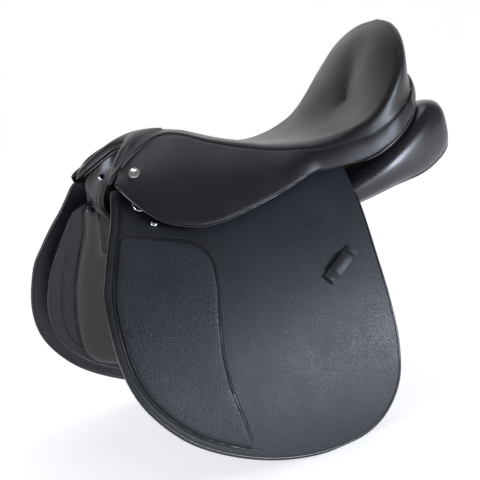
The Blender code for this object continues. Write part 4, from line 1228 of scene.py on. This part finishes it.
class SADDLE_OT_fittings(bpy.types.Operator):
    """Fittings: front rings on their tabs, stirrup bars, tree, head plate and webbing"""

    bl_idname = "saddle.fittings"
    bl_label = "Fittings and tree"

    def execute(self, context):
        y, z = RING_HINGE
        normal = flap_normal(z)
        centre = on_flap(y, z, RING_LIFT)
        down = Vector((0.35, -0.50, -0.70))
        down = (down - normal * down.dot(normal)).normalized()
        bar = normal.cross(down)
        half = RING_WIDTH / 2
        path = [centre + bar * (half - 0.002) * (1 - k / 3) for k in range(6)]
        path[5] = centre - bar * (half - 0.002)
        for k in range(25):
            turn = math.pi * k / 24
            path.append(centre - bar * half * math.cos(turn)
                        + down * (0.004 + (RING_DEPTH - 0.004) * math.sin(turn)))
        lists = tube(path, RING_WIRE, 14, closed=True, up=normal)
        for word, side in SIDES:
            ring = make("front_ring_wire_" + word, lists, nickel(), side)
            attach(ring, "ring_" + word)
            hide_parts("ring_" + word)
            dress("ring_tab_" + word, welt_hide())
            dress("stirrup_bar_" + word, steel())
            dress("bar_catch_" + word, steel())
            dress("seat_webbing_" + word, canvas())
            for label in ("inner", "outer"):
                dress("gullet_screw_" + label + "_" + word, steel())
        dress("tree", plywood())
        dress("gullet_plate", steel())
        return {"FINISHED"}


class SADDLE_OT_studio(bpy.types.Operator):
    """Studio: a pale swept floor, soft lights and the camera at the near front"""

    bl_idname = "saddle.studio"
    bl_label = "Studio"

    def execute(self, context):
        own = settings()
        scene = context.scene
        low = CAD_BOX[0][2] - 0.001
        turn = math.radians(FLOOR_TURN)
        away = Vector((-math.sin(turn), math.cos(turn), 0))
        across = away.cross(Vector((0, 0, 1)))
        profile = [(-3.0, 0.0), (2.2, 0.0)]
        for k in range(1, 13):
            turn = math.pi / 2 * k / 12
            profile.append((2.2 + 1.4 * math.sin(turn), 1.4 - 1.4 * math.cos(turn)))
        profile.append((3.6, 4.5))
        rows = [[away * d + across * s + Vector((0, 0, low + h)) for s in (-4.5, 4.5)] for d, h in profile]
        floor = make("studio_floor", grid(rows), self.paper(own.floor), angle=80)
        world = bpy.data.worlds.new("studio_air")
        scene.world = world
        world.use_nodes = True
        world.node_tree.nodes["Background"].inputs["Color"].default_value = (1, 1, 1, 1)
        world.node_tree.nodes["Background"].inputs["Strength"].default_value = AIR_STRENGTH
        centre = Vector((0, -0.09, -0.04))
        for name, spot, size, power in (
            ("side_window", (1.25, 0.80, 0.00), 0.55, own.key_power * 0.6),
            ("overhead", (-0.3, 0.5, 1.8), 0.9, own.fill_power * 0.6),
            ("front_fill", (0.35, -1.7, 0.20), 0.8, own.fill_power * 1.6),
        ):
            light = bpy.data.lights.new(name, "AREA")
            light.shape = "SQUARE"
            light.size = size
            light.energy = power
            light.color = linear("#e6eeff")
            lamp = bpy.data.objects.new(name, light)
            lamp.location = spot
            lamp.rotation_euler = (centre - Vector(spot)).to_track_quat("-Z", "Y").to_euler()
            scene.collection.objects.link(lamp)
        self.camera(scene)
        scene.view_settings.view_transform = "Standard"
        return {"FINISHED"}

    def paper(self, colour):
        """Matt background paper: almost white, with no shine."""
        material, tree = blank("paper_matt_coated")
        shader = add_node(tree, "ShaderNodeBsdfPrincipled", values={"Base Color": (*colour, 1),
                          "Roughness": 0.9, "Emission Color": (*colour, 1), "Emission Strength": PAPER_GLOW})
        add_node(tree, "ShaderNodeOutputMaterial", links={"Surface": shader.outputs[0]})
        return material

    def camera(self, scene):
        """Long lens from the near front, a little above, rolled as the saddle leans on its stand."""
        a, e, roll = (math.radians(v) for v in CAMERA_ANGLES)
        back = Vector((math.sin(a) * math.cos(e), -math.cos(a) * math.cos(e), math.sin(e)))
        right = Vector((math.cos(a), math.sin(a), 0))
        up = back.cross(right)
        data = bpy.data.cameras.new("camera")
        data.lens = CAMERA_LENS
        data.sensor_width = 36
        eye = bpy.data.objects.new("camera", data)
        eye.location = Vector(CAMERA_TARGET) + back * CAMERA_DISTANCE
        x = right * math.cos(roll) + up * math.sin(roll)
        y = up * math.cos(roll) - right * math.sin(roll)
        eye.rotation_euler = Matrix((x, y, back)).transposed().to_euler()
        scene.collection.objects.link(eye)
        scene.camera = eye


OPERATORS = (SADDLE_OT_seat, SADDLE_OT_skirts, SADDLE_OT_flaps, SADDLE_OT_panels, SADDLE_OT_sweat_flaps,
             SADDLE_OT_girth_straps, SADDLE_OT_front_arch, SADDLE_OT_cantle, SADDLE_OT_fittings,
             SADDLE_OT_studio)


class SADDLE_PT_sidebar(bpy.types.Panel):
    """Lists the saddle's settings and the steps that build it"""

    bl_idname = "SADDLE_PT_sidebar"
    bl_label = "Saddle"
    bl_space_type = "VIEW_3D"
    bl_region_type = "UI"
    bl_category = "Saddle"

    def draw(self, context):
        column = self.layout.column()
        for name in SaddleSettings.__annotations__:
            column.prop(context.scene.saddle_settings, name)
        for operator in OPERATORS:
            column.operator(operator.bl_idname)


CLASSES = (SaddleSettings, *OPERATORS, SADDLE_PT_sidebar)


def register():
    for item in CLASSES:
        bpy.utils.register_class(item)
    bpy.types.Scene.saddle_settings = PointerProperty(type=SaddleSettings)


def unregister():
    del bpy.types.Scene.saddle_settings
    for item in reversed(CLASSES):
        bpy.utils.unregister_class(item)


def main():
    """Registers the add-on and builds every piece in order."""
    register()
    for operator in OPERATORS:
        group, name = operator.bl_idname.split(".")
        getattr(getattr(bpy.ops, group), name)()


if __name__ == "__main__":
    main()
